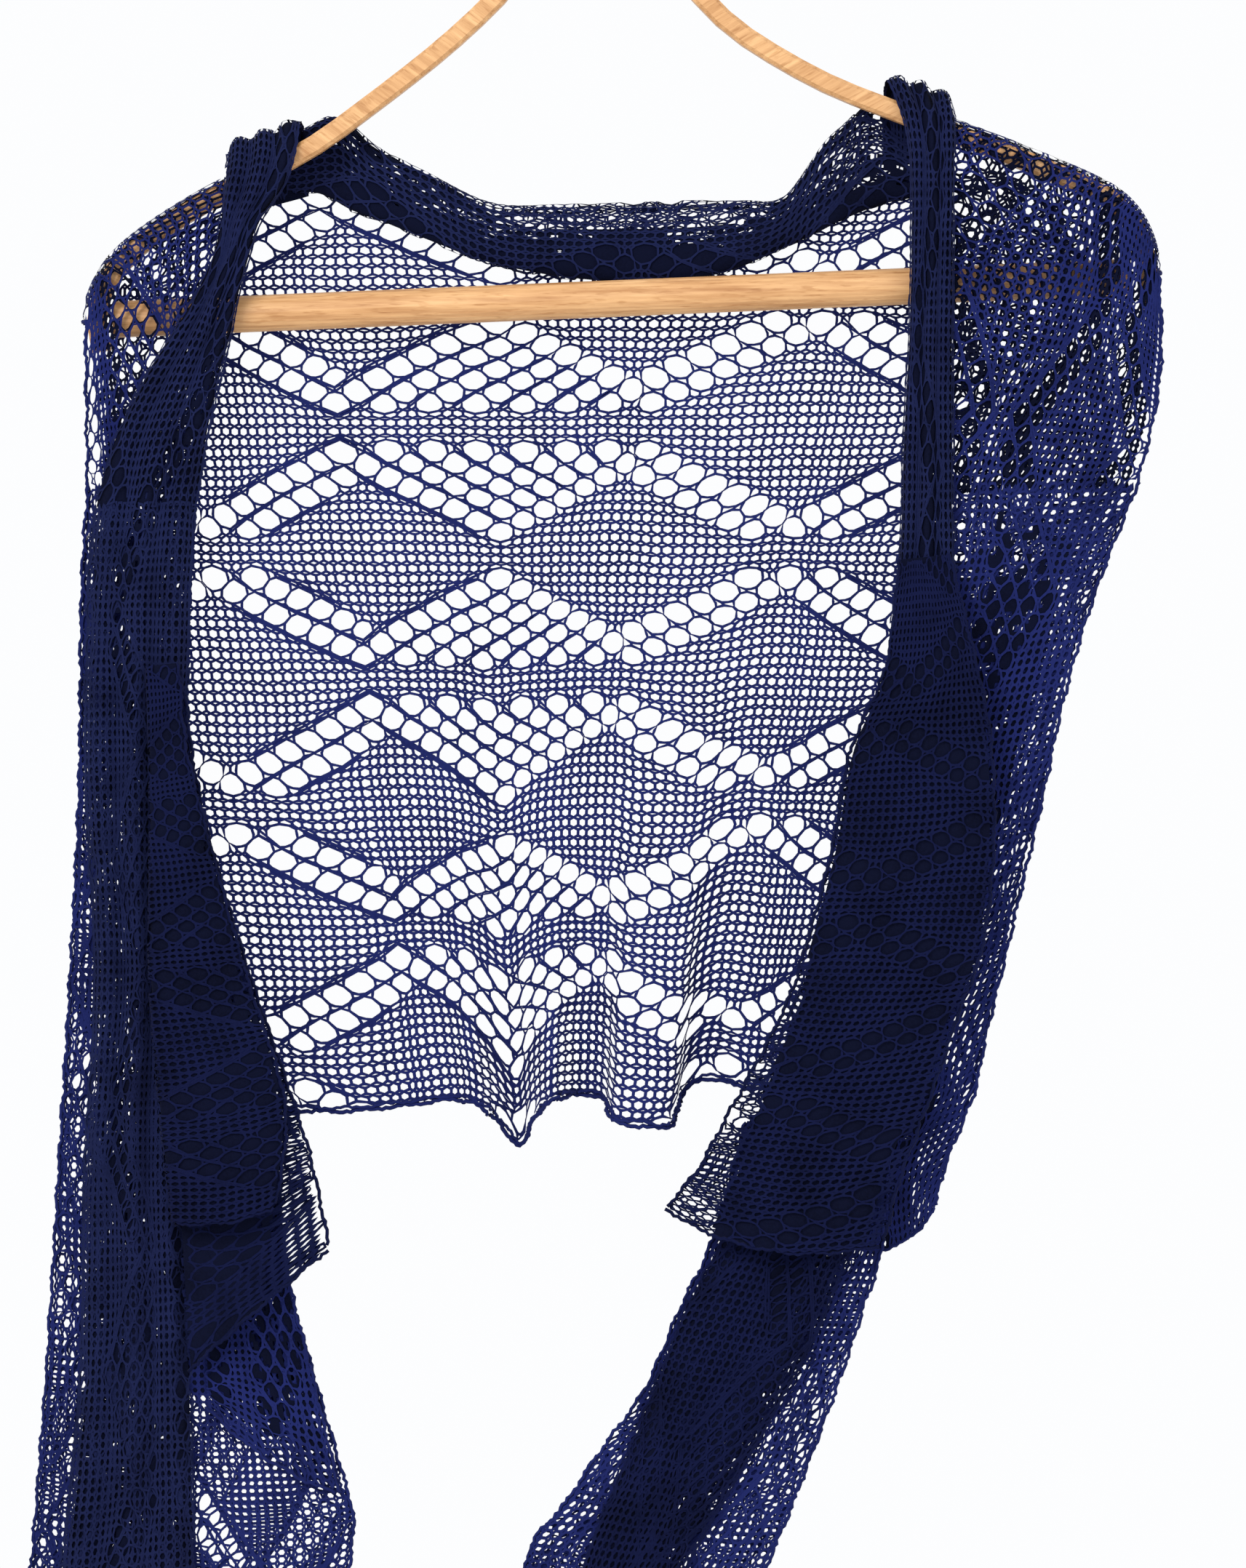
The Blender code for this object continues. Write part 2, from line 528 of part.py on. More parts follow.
def build_hook():
    sides = 10
    centres = [np.array((row["x"], row["down"])) for row in HOOK]
    centres[0][1] = NECK_TOP - 0.4
    rings = []
    for place in even_places(centres, 24):
        point = through(centres, place)
        ahead = through(centres, min(place + 0.05, len(centres) - 1))
        behind = through(centres, max(place - 0.05, 0))
        along = (ahead - behind) / np.linalg.norm(ahead - behind)
        side = np.array((-along[1], along[0]))
        ring = []
        for k in range(sides):
            angle = 2 * math.pi * k / sides
            x, down = point + side * HOOK_ROD_RADIUS * math.cos(angle)
            x, down = tilted(x, down)
            ring.append(world(x, down, HOOK_ROD_RADIUS * math.sin(angle)))
        rings.append(ring)
    capped_tube("hanger_hook", rings, STEEL, 0.3, 1.0)


NAVY = (0.012, 0.016, 0.085)
NAVY_FRONT = (0.014, 0.022, 0.115)
NAVY_DEEP = (0.007, 0.010, 0.050)
OVER_ARM = table("outward back", [
    (-3.0, 8.1),
    (1.5, 8.1),
    (5.2, 6.4),
    (6.0, 0.0),
    (5.2, -6.4),
    (1.5, -8.6),
    (-3.5, -9.2),
])


def build_shoulder(name, arm_rows, inner_place, hem, folds, fold_depth):
    """The cloth from behind the arm, over it and down to the top of the hanging tail."""
    points = arm_line(arm_rows)
    last = len(points) - 1
    grid = []
    for part in np.linspace(0, 1, 15):
        point, outward = arm_frame(points, inner_place + (last - 0.95 - inner_place) * part)
        column = []
        for step in OVER_ARM:
            x, down = point + outward * step["outward"]
            column.append(np.array(world(x, down, step["back"])))
        low = [np.array(world(hem["x_" + k], hem["down_" + k] - SEAM_GAP, hem["back_" + k])) for k in "abc"]
        foot = quadratic(low[0], low[1], low[2], part)
        top = column[-1].copy()
        wave = fold_depth * (1 - math.cos(2 * math.pi * folds * part)) / 2
        for fall in np.linspace(0, 1, 6)[1:]:
            hanging = top + (foot - top) * fall
            hanging[1] -= (wave + 1.2) * math.sin(math.pi * fall)
            column.append(hanging)
        grid.append(column)
    wall_from_grid(name, grid, NAVY)


def build_collar():
    """The top of the shawl: a fold line, a leg falling in front of the back and a roll at its edge."""
    folds = [np.array(world(row["x_fold"], row["down_fold"], 0)) for row in COLLAR_STATIONS]
    grid = []
    for place in even_places(folds, 20):
        row = row_at(COLLAR_STATIONS, place)
        line = []
        for angle in np.linspace(-0.3, math.pi, 5):
            down = row["down_fold"] + 3.6 - 3.0 * math.sin(angle)
            line.append(world(row["x_fold"], down, 14.8 + 3.0 * math.cos(angle)))
        half_roll = min(6.0, (row["down_roll"] - row["down_fold"]) / 4.2)
        centre = row["down_roll"] - WALL / 2 - half_roll
        start = row["down_fold"] + 3.6
        for part in (0.35, 0.7):
            down = start + (centre - start) * part
            x = row["x_fold"] + (row["x_roll"] - row["x_fold"]) * part
            line.append(world(x, down, 11.8 - 2.4 * part))
        for angle in np.linspace(0, math.radians(290), 8):
            shrink = 1 - 0.3 * angle / math.radians(290)
            down = centre + half_roll * shrink * math.sin(angle)
            line.append(world(row["x_roll"], down, 12.0 - 2.6 * shrink * math.cos(angle)))
        grid.append(line)
    wall_from_grid("collar_fold", grid, NAVY_DEEP)


def back_point(place, fall):
    """Mid-surface of the back at a station place and a part of its fall from top to hem."""
    row = row_at(BACK_STATIONS, place)
    x = quadratic(row["x_top"], row["x_mid"], row["x_hem"], fall)
    down = row["down_top"] + (row["down_hem"] - row["down_top"]) * fall
    if fall < 0.5:
        back = row["back_top"] + (row["back_mid"] - row["back_top"]) * 2 * fall
    else:
        back = row["back_mid"] + (row["back_hem"] - row["back_mid"]) * (2 * fall - 1) ** 1.7
    return np.array(world(x, down, back))


def back_normal(place, fall):
    last = len(BACK_STATIONS) - 1
    along = back_point(min(place + 0.04, last), fall) - back_point(max(place - 0.04, 0), fall)
    below = back_point(place, min(fall + 0.01, 1)) - back_point(place, max(fall - 0.01, 0))
    normal = np.cross(along, below)
    return normal / np.linalg.norm(normal)


def eyelet_centres():
    """Stitch and row of each eyelet: the edges of the diamonds first, then the fans inside."""
    edges = []
    fans = []
    half = STITCH_UNIT
    for unit in range(0, 7):
        shift = 0 if unit % 2 else LACE_REPEAT_ROWS // 2
        for repeat in range(-1, 5):
            peak = FIRST_PEAK_ROW + repeat * LACE_REPEAT_ROWS + shift
            middle = unit * half
            for step in range(8):
                for side in ((-1, 1) if 0 < step < 7 else (1,)):
                    edges.append((middle + side * 2 * step, peak + step))
            for step in range(1, 7):
                for side in (-1, 1):
                    edges.append((middle + side * 2 * step, peak + 19 - step))
            edges.append((middle, peak + 19))
            if unit % 4 == 2:
                for line in range(1, 7):
                    for step in range(2 * line, 8 + line):
                        fans.append((middle - half + 2 * step, peak + 7 - step + 2 * line))
                        fans.append((middle - half + 2 * step, peak + 12 + step - 2 * line))
    return edges, fans


def place_of_unit(unit):
    units = [row["unit"] for row in BACK_STATIONS]
    return float(np.interp(unit, units, range(len(units))))


def hem_row():
    return (604.0 - ROWS_TOP_DOWN) / ROW_PITCH


def fall_of_row(place, row_number):
    """The part of the fall that a knitted row stands at, for the station place."""
    row = row_at(BACK_STATIONS, place)
    top_row = (row["down_top"] - ROWS_TOP_DOWN) / ROW_PITCH
    return (row_number - top_row) / (hem_row() - top_row)


def chosen_eyelets():
    kept = []
    taken = set()
    for group in eyelet_centres():
        for stitch, row_number in sorted(group, key=lambda eyelet: (eyelet[1], eyelet[0])):
            place = place_of_unit(stitch / STITCH_UNIT)
            fall = fall_of_row(place, row_number)
            if not 0.6 < stitch / STITCH_UNIT < 4.3 or not 0.09 < fall < 0.965:
                continue
            if (stitch, row_number) not in taken and len(kept) < EYELETS_AT_MOST:
                taken.add((stitch, row_number))
                kept.append((stitch, row_number))
    return kept


def eyelet_outline(stitch, row_number, flat_x, flat_down):
    outline = []
    centre = np.array((flat_x(stitch / STITCH_UNIT), flat_down(row_number)))
    for angle in (0, 62, 118, 180, 242, 298):
        turn = math.radians(angle)
        outline.append(centre + np.array((
            EYELET_WIDTH / 2 * math.cos(turn),
            EYELET_HEIGHT / 2 * math.sin(turn) * 1.12,
        )))
    return outline


def build_back():
    """The back of the shawl as one wall, with the largest eyelets cut through it."""
    unit_width = 57.6

    def flat_x(unit):
        return unit * unit_width

    def flat_down(row_number):
        return row_number * ROW_PITCH

    def surface(flat):
        place = place_of_unit(flat[0] / unit_width)
        fall = fall_of_row(place, flat[1] / ROW_PITCH)
        fall = min(max(fall, 0), 1)
        return back_point(place, fall), back_normal(place, fall)

    flats = []
    last = len(BACK_STATIONS) - 1
    places = np.linspace(0, last, 2 * last + 1)
    for place in places:
        row = row_at(BACK_STATIONS, place)
        unit = np.interp(place, range(last + 1), [station["unit"] for station in BACK_STATIONS])
        flats.append((unit * unit_width, row["down_top"] - ROWS_TOP_DOWN))
    bottom = hem_row() * ROW_PITCH
    for place in reversed(places):
        unit = np.interp(place, range(last + 1), [station["unit"] for station in BACK_STATIONS])
        flats.append((unit * unit_width, bottom))
    first_side = flats[0]
    other_side = flats[len(places) - 1]
    sides = []
    for part in np.linspace(0, 1, 11)[1:-1]:
        sides.append(((other_side[0]), other_side[1] + (bottom - other_side[1]) * part))
    rim = flats[:len(places)] + sides + flats[len(places):]
    for part in np.linspace(1, 0, 11)[1:-1]:
        rim.append((first_side[0], first_side[1] + (bottom - first_side[1]) * part))

    points = [Vector(point) for point in rim]
    edges = [(k, (k + 1) % len(rim)) for k in range(len(rim))]
    holes = [eyelet_outline(s, r, flat_x, flat_down) for s, r in chosen_eyelets()]
    centres = []
    for outline in holes:
        base = len(points)
        points += [Vector(point) for point in outline]
        edges += [(base + k, base + (k + 1) % len(outline)) for k in range(len(outline))]
        centres.append(sum(outline) / len(outline))
    centres = np.array(centres)
    for k, place in enumerate(places[1:-1]):
        unit = np.interp(place, range(last + 1), [station["unit"] for station in BACK_STATIONS])
        for fall in FOLD_LEVELS[k % 2]:
            row = row_at(BACK_STATIONS, place)
            top = row["down_top"] - ROWS_TOP_DOWN
            x = unit * unit_width
            down = top + (bottom - top) * fall
            if np.min(np.hypot(centres[:, 0] - x, centres[:, 1] - down)) > 5.6:
                points.append(Vector((x, down)))
    flat_points, _, faces, _, _, _ = delaunay_2d_cdt(points, edges, [], 0, 1e-4)
    outline = [tuple(point) for point in rim]
    kept = []
    for face in faces:
        centre = sum((flat_points[k] for k in face), Vector((0, 0))) / 3
        in_hole = np.any(np.array([inside(centre, hole) for hole in near_holes(centre, holes, centres)]))
        if not in_hole and inside(centre, outline):
            kept.append(tuple(face))
    solid = [surface(point) for point in flat_points]
    upper = [point + normal * WALL / 2 for point, normal in solid]
    lower = [point - normal * WALL / 2 for point, normal in solid]
    count = len(upper)
    faces = list(kept)
    faces += [tuple(count + k for k in reversed(face)) for face in kept]
    border = {}
    for face in kept:
        for start, end in zip(face, face[1:] + face[:1]):
            if (end, start) in border:
                del border[(end, start)]
            else:
                border[(start, end)] = True
    faces += [(end, start, count + start, count + end) for start, end in border]
    used = sorted({index for face in faces for index in face})
    renumbered = {index: k for k, index in enumerate(used)}
    everything = upper + lower
    add_body(
        "back_panel",
        [everything[index] for index in used],
        [tuple(renumbered[index] for index in face) for face in faces],
        NAVY,
    )


def near_holes(centre, holes, centres):
    distance = np.hypot(centres[:, 0] - centre[0], centres[:, 1] - centre[1])
    return [holes[k] for k in np.nonzero(distance < 8)[0]]


def inside(point, outline):
    crossings = False
    for start, end in zip(outline, outline[1:] + outline[:1]):
        if (start[1] > point[1]) != (end[1] > point[1]):
            x = start[0] + (point[1] - start[1]) * (end[0] - start[0]) / (end[1] - start[1])
            if point[0] < x:
                crossings = not crossings
    return crossings


def build_cloth():
    build_back()
    build_collar()
    build_shoulder("shoulder_left", ARM_LEFT, 6.9, hem_of(TAIL_LEFT_OUTER, True), 3, 1.0)
    build_shoulder("shoulder_right", ARM_RIGHT, 6.52, hem_of(TAIL_RIGHT_OUTER, False), 5, 2.4)
    sheet("band_left", BAND_LEFT, 20, 16, NAVY_DEEP, waves=3, wave_depth=1.4, crossing=4)
    sheet("band_right", BAND_RIGHT, 21, 16, NAVY_DEEP, waves=3, wave_depth=1.4, crossing=4)
    sheet("tail_left_outer", TAIL_LEFT_OUTER, 16, 7, NAVY, waves=1, wave_depth=0.6)
    sheet("tail_left_mid", TAIL_LEFT_MID, 15, 16, NAVY_DEEP, waves=3, wave_depth=1.4)
    sheet("flounce_left_front", FLOUNCE_LEFT_FRONT, 10, 7, NAVY_FRONT, turn=10.0)
    sheet("flounce_left_back", FLOUNCE_LEFT_BACK, 10, 7, NAVY)
    sheet("tail_left_low", TAIL_LEFT_LOW, 12, 8, NAVY)
    sheet("tail_left_scallop", TAIL_LEFT_SCALLOP, 7, 7, NAVY)
    sheet("tail_right_outer", TAIL_RIGHT_OUTER, 15, 8, NAVY, waves=1, wave_depth=0.4)
    sheet("tail_right_mid", TAIL_RIGHT_MID, 16, 11, NAVY_DEEP, waves=2, wave_depth=1.4)
    sheet("tail_right_low", TAIL_RIGHT_LOW, 12, 7, NAVY)
    sheet("flounce_right", FLOUNCE_RIGHT, 15, 8, NAVY_FRONT)


def hem_of(rows, mirrored):
    """The first section of a tail, named from its inner edge to its outer one."""
    top = rows[0]
    if not mirrored:
        return top
    swap = {"a": "c", "b": "b", "c": "a"}
    return {key[:-1] + swap[key[-1]]: value for key, value in top.items()}


def build_hanger():
    build_bar()
    build_arm("hanger_arm_left", ARM_LEFT)
    build_arm("hanger_arm_right", ARM_RIGHT)
    build_neck()
    build_hook()


clear_scene()
build_hanger()
build_cloth()
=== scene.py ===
"""Looks of a knitted lace shawl hung on a bentwood hanger.

Millimetres in the tables: "x" to the right, "down" below the hook's bearing point, "back" behind
the plane of the hanger. The net is charted in stitches along the stole and rows across it.
"""

import math

import bpy
import numpy as np
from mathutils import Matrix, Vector

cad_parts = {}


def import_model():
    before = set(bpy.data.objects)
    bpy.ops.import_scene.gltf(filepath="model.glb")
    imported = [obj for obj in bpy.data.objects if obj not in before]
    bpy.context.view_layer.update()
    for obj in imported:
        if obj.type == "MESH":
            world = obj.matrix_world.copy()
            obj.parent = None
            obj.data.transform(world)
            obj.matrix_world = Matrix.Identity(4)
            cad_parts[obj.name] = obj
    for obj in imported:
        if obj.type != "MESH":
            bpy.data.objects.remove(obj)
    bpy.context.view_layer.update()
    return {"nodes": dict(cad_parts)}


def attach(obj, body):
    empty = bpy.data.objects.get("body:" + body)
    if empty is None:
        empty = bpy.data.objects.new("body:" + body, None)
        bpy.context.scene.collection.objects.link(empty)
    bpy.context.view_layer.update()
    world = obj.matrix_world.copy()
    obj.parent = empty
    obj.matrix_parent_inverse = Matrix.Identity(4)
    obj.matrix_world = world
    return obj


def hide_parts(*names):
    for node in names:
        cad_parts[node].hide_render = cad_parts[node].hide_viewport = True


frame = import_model()

MM = 0.001
WALL = 1.2
SEAM_GAP = 0.4
HANGER_TILT = math.radians(2.4)
HAIRPIN_RADIUS = 1.9

BACK_THREAD = 0.47
HEM_THREAD_GAIN = 0.2
TOP_LEAD = 0.055
HEM_DOWN = 604.0
KNOT_SCALE = 1.2
STITCH_UNIT = 14
STITCH_PITCH = 4.11
ROW_PITCH = 4.37
ROWS_TOP_DOWN = 233.8
LACE_REPEAT_ROWS = 24
FIRST_PEAK_ROW = -1
TILE_STITCHES = 56
WALL_HALF_ROWS = 0.275
HOLE_PRESSURE = 0.34
TETHER = 0.14
STRAND_SCALE = 0.9


def table(columns, rows):
    names = columns.split()
    return [dict(zip(names, row)) for row in rows]


ARM_COLUMNS = "x down"
ARM_LEFT = table(ARM_COLUMNS, [
    (-11.5, 98.0),
    (-22.0, 117.0),
    (-34.0, 134.0),
    (-46.3, 148.2),
    (-70.0, 168.3),
    (-103.4, 192.1),
    (-126.9, 207.0),
    (-165.1, 224.6),
    (-187.0, 236.8),
    (-202.0, 247.9),
    (-210.6, 259.5),
    (-214.0, 271.8),
    (-212.5, 284.8),
])
ARM_RIGHT = table(ARM_COLUMNS, [
    (4.5, 98.0),
    (15.0, 117.5),
    (27.0, 136.5),
    (39.4, 151.8),
    (54.7, 167.0),
    (86.4, 187.3),
    (121.3, 203.0),
    (162.4, 220.8),
    (194.2, 235.8),
    (207.0, 245.6),
    (213.2, 257.5),
    (214.9, 271.0),
    (215.5, 285.2),
])
HOOK = table("x down", [
    (-3.5, 96.0),
    (-3.5, 74.0),
    (-2.0, 56.0),
    (8.0, 41.0),
    (17.5, 30.0),
    (19.8, 16.0),
    (14.0, 3.6),
    (0.0, -1.8),
    (-14.0, 3.6),
    (-19.8, 17.0),
    (-17.5, 28.0),
])

# Where the lace repeats stand along the back: a row per fold, from the left to the right.
BACK_STATIONS = table("unit x_top down_top back_top x_mid back_mid x_hem down_hem back_hem", [
    (-0.90, -197.1, 287.6, 8.4, -198.4, 9.0, -181.1, 578.8, 4.0),
    (-0.78, -194.6, 271.0, 8.4, -193.9, 9.5, -176.3, 590.0, 4.0),
    (-0.55, -188.5, 260.7, 8.4, -181.1, 10.5, -165.1, 597.4, 5.0),
    (-0.25, -176.6, 250.8, 8.6, -165.1, 11.5, -149.1, 600.6, 6.0),
    (0.10, -160.3, 239.6, 9.0, -145.9, 12.5, -127.4, 603.1, 9.0),
    (0.50, -142.1, 237.7, 10.5, -122.9, 13.0, -102.7, 604.1, 12.0),
    (0.92, -118.7, 231.3, 13.6, -99.2, 14.0, -75.5, 601.5, 15.0),
    (1.02, -112.4, 208.0, 19.4, -93.6, 14.4, -70.5, 600.7, 15.6),
    (1.30, -91.5, 210.8, 19.4, -77.4, 15.0, -56.3, 599.3, 11.0),
    (1.55, -73.9, 221.0, 19.4, -63.0, 14.5, -47.4, 601.2, 2.0),
    (1.75, -57.6, 229.0, 19.4, -51.5, 14.0, -39.0, 608.2, 14.0),
    (1.95, -41.3, 236.1, 19.4, -40.0, 14.0, -30.1, 618.8, 24.0),
    (2.20, -23.7, 236.4, 19.4, -26.6, 14.0, -24.2, 607.0, 12.0),
    (2.45, -7.0, 236.1, 19.4, -13.4, 14.0, -16.6, 599.6, 1.0),
    (2.70, 9.9, 235.8, 19.4, -0.3, 14.0, -6.4, 597.4, 17.0),
    (2.95, 26.9, 235.4, 19.4, 13.1, 14.0, 3.8, 599.0, 15.0),
    (3.10, 37.1, 235.1, 19.4, 22.1, 14.0, 8.6, 607.6, 0.0),
    (3.30, 51.2, 235.1, 19.4, 34.6, 14.0, 21.1, 609.8, -4.0),
    (3.50, 65.3, 234.5, 19.4, 47.0, 14.0, 32.0, 609.5, 1.0),
    (3.68, 78.1, 233.5, 19.4, 58.2, 14.0, 36.2, 598.0, 17.0),
    (3.85, 89.9, 223.9, 19.4, 68.8, 14.0, 45.4, 591.0, 19.0),
    (4.14, 113.8, 199.0, 19.4, 85.5, 13.4, 62.6, 594.4, 13.8),
    (4.24, 118.4, 217.6, 15.0, 90.0, 13.0, 67.8, 594.8, 13.0),
    (4.70, 146.6, 219.1, 11.0, 113.3, 13.0, 84.5, 595.1, 11.0),
    (5.00, 170.9, 221.0, 8.8, 130.9, 12.5, 97.9, 594.8, 8.0),
    (5.50, 201.3, 232.6, 8.6, 156.8, 11.0, 116.5, 592.9, 6.0),
    (5.85, 213.8, 239.6, 8.4, 174.1, 9.5, 130.9, 590.3, 4.0),
    (6.15, 219.8, 249.2, 8.4, 185.3, 8.5, 138.9, 585.8, 4.0),
    (6.30, 222.1, 262.6, 8.4, 190.1, 8.0, 142.1, 578.8, 4.0),
])

# The collar turned forward over the back: its fold line and the bottom of its roll.
COLLAR_STATIONS = table("x_fold down_fold x_roll down_roll", [
    (-110.4, 205.6, -109.4, 230.2),
    (-101.0, 202.6, -99.8, 236.0),
    (-88.3, 209.5, -86.4, 240.9),
    (-69.1, 219.1, -67.2, 248.6),
    (-49.9, 229.0, -49.3, 255.6),
    (-35.5, 233.2, -33.9, 259.8),
    (-11.5, 232.6, -10.9, 263.9),
    (14.1, 231.6, 14.1, 265.8),
    (36.5, 231.0, 35.8, 265.5),
    (58.9, 230.6, 57.6, 260.7),
    (78.1, 229.4, 74.9, 253.0),
    (94.1, 215.0, 90.9, 246.0),
    (104.0, 199.0, 102.0, 240.4),
    (112.6, 190.4, 111.0, 236.6),
])

SECTION = "x_a down_a back_a x_b down_b back_b x_c down_c back_c"
BAND_LEFT = table(SECTION, [
    (-143.4, 236.2, 10.5, -129.3, 233.0, 11.6, -115.6, 229.2, 12.8),
    (-147.2, 219.0, 8.6, -133.1, 214.6, 9.4, -117.1, 209.5, 8.6),
    (-148.8, 210.4, 0.0, -134.1, 205.6, 0.0, -119.0, 200.2, 0.0),
    (-149.4, 218.8, -9.0, -135.0, 216.6, -10.0, -121.0, 212.7, -9.0),
    (-150.1, 228.4, -12.5, -137.9, 228.1, -15.0, -125.4, 226.2, -12.5),
    (-151.7, 241.2, -14.0, -143.4, 241.2, -16.5, -135.0, 240.6, -14.0),
    (-154.9, 255.6, -14.5, -147.2, 255.6, -17.0, -139.5, 255.0, -14.5),
    (-162.9, 273.2, -14.5, -153.6, 272.9, -17.0, -144.0, 271.6, -14.5),
    (-172.2, 287.6, -14.5, -159.4, 287.0, -17.0, -146.6, 285.7, -14.5),
    (-183.7, 306.8, -14.5, -167.7, 305.5, -17.0, -150.7, 303.0, -14.5),
    (-195.5, 330.8, -14.5, -176.3, 329.8, -17.0, -156.2, 327.9, -14.5),
    (-202.9, 357.2, -14.5, -181.8, 357.2, -17.0, -160.6, 356.6, -14.5),
])
BAND_RIGHT = table(SECTION, [
    (118.4, 216.2, 13.2, 131.8, 216.6, 11.8, 145.3, 217.0, 10.6),
    (118.4, 193.0, 9.0, 131.8, 196.0, 9.4, 145.3, 201.0, 8.6),
    (119.7, 183.6, 0.0, 133.1, 186.0, 0.0, 145.9, 192.0, 0.0),
    (124.8, 194.8, -9.0, 136.3, 195.4, -10.0, 147.8, 200.0, -9.0),
    (128.3, 207.6, -12.5, 137.9, 207.6, -15.0, 147.5, 208.2, -12.5),
    (129.3, 223.6, -14.0, 138.2, 223.6, -17.0, 146.9, 223.6, -14.0),
    (129.3, 252.4, -14.5, 137.9, 252.4, -17.5, 146.6, 252.4, -14.5),
    (128.6, 287.6, -14.5, 137.3, 287.6, -17.5, 146.2, 287.6, -14.5),
    (126.1, 329.2, -14.5, 136.3, 329.2, -17.5, 146.6, 329.2, -14.5),
    (124.8, 370.8, -14.5, 135.7, 370.8, -17.5, 147.2, 370.8, -14.5),
    (121.9, 399.6, -14.5, 135.0, 399.6, -17.5, 149.1, 399.6, -14.5),
    (118.4, 427.4, -14.5, 133.8, 426.9, -17.5, 150.4, 425.6, -14.5),
])
TAIL_LEFT_OUTER = table(SECTION, [
    (-205.8, 350.0, -8.0, -183.7, 350.0, -10.0, -160.0, 350.0, -10.0),
    (-208.3, 393.2, -8.0, -185.9, 393.2, -10.0, -163.5, 393.2, -9.5),
    (-209.3, 470.0, -7.0, -186.9, 470.0, -9.0, -165.1, 470.0, -8.5),
    (-213.1, 550.0, -6.0, -189.1, 550.0, -8.0, -166.4, 550.0, -7.5),
    (-217.9, 630.0, -6.0, -192.3, 630.0, -8.0, -167.7, 630.0, -7.0),
    (-222.7, 710.0, -6.0, -193.9, 710.0, -8.0, -166.4, 710.0, -7.0),
    (-229.1, 790.0, -6.0, -196.5, 790.0, -8.0, -165.1, 790.0, -7.0),
    (-234.9, 854.0, -6.0, -200.3, 854.0, -8.0, -166.4, 854.0, -7.0),
    (-238.7, 910.0, -6.0, -203.5, 913.2, -8.0, -168.3, 911.6, -7.0),
])
TAIL_LEFT_MID = table(SECTION, [
    (-203.2, 358.2, -14.5, -182.1, 358.2, -17.0, -161.0, 357.6, -14.5),
    (-206.1, 393.2, -15.0, -184.3, 393.2, -17.5, -163.5, 393.2, -15.0),
    (-206.7, 470.0, -15.0, -185.6, 470.0, -17.5, -164.5, 470.0, -15.0),
    (-202.9, 550.0, -15.0, -184.3, 550.0, -17.5, -165.8, 550.0, -15.0),
    (-207.4, 630.0, -15.0, -186.9, 630.0, -17.5, -166.4, 630.0, -15.0),
    (-209.0, 710.0, -15.0, -186.2, 710.0, -17.5, -163.2, 710.0, -15.0),
    (-217.0, 790.0, -15.0, -189.1, 790.0, -17.5, -161.3, 790.0, -15.0),
    (-222.7, 854.0, -15.0, -192.6, 854.0, -17.5, -161.9, 854.0, -15.0),
    (-225.9, 914.8, -15.0, -194.6, 911.6, -17.5, -163.2, 908.4, -15.0),
])
FLOUNCE_LEFT_FRONT = table(SECTION, [
    (-178.6, 422.0, -26.3, -173.4, 421.4, -26.8, -168.0, 420.7, -26.3),
    (-177.9, 457.2, -30.0, -170.9, 455.6, -31.5, -165.1, 454.0, -30.0),
    (-177.3, 498.8, -31.0, -165.1, 497.2, -34.0, -154.9, 495.6, -30.0),
    (-177.0, 551.6, -31.5, -158.1, 550.0, -35.0, -140.2, 548.4, -30.0),
    (-172.8, 608.9, -31.5, -148.5, 605.7, -35.0, -124.8, 599.6, -30.0),
    (-168.0, 647.9, -31.5, -147.2, 647.3, -35.0, -128.6, 641.2, -30.0),
])
FLOUNCE_LEFT_BACK = table(SECTION, [
    (-176.0, 425.2, -20.9, -171.8, 424.6, -21.1, -167.7, 423.9, -20.9),
    (-174.1, 486.0, -23.0, -165.8, 484.4, -24.5, -158.1, 482.8, -23.0),
    (-173.4, 550.0, -23.0, -156.2, 548.4, -24.5, -139.5, 546.8, -23.0),
    (-170.2, 614.0, -23.0, -144.6, 611.4, -24.5, -118.7, 607.6, -23.0),
    (-167.0, 668.4, -23.0, -140.8, 659.4, -24.5, -111.0, 638.0, -23.0),
    (-164.2, 708.4, -23.0, -139.5, 686.3, -24.5, -107.2, 658.8, -23.0),
])
TAIL_LEFT_LOW = table(SECTION, [
    (-169.6, 598.0, -13.4, -149.8, 598.0, -12.2, -129.9, 596.4, -11.0),
    (-168.3, 670.0, -13.4, -145.9, 670.0, -12.2, -124.8, 668.4, -11.0),
    (-167.7, 710.0, -13.0, -140.2, 710.6, -12.0, -113.9, 710.0, -11.0),
    (-166.7, 754.8, -11.0, -133.8, 754.8, -12.5, -101.4, 753.2, -11.0),
    (-166.7, 777.2, -11.0, -132.5, 777.2, -13.0, -97.6, 772.4, -11.0),
    (-167.4, 802.8, -11.0, -133.8, 804.4, -13.0, -101.8, 801.2, -11.0),
    (-168.3, 854.0, -11.0, -138.9, 855.6, -12.0, -112.6, 854.0, -11.0),
    (-169.6, 908.4, -11.0, -143.4, 911.6, -12.0, -116.5, 913.2, -11.0),
])
TAIL_LEFT_SCALLOP = table(SECTION, [
    (-159.4, 623.6, -14.2, -142.1, 623.0, -13.6, -129.3, 620.4, -12.9),
    (-158.7, 670.0, -14.5, -140.2, 669.0, -15.5, -124.8, 666.8, -14.5),
    (-158.1, 703.6, -14.5, -135.0, 705.2, -15.5, -115.2, 706.8, -14.5),
    (-157.4, 723.4, -14.5, -130.6, 745.8, -15.5, -103.0, 758.6, -14.5),
])
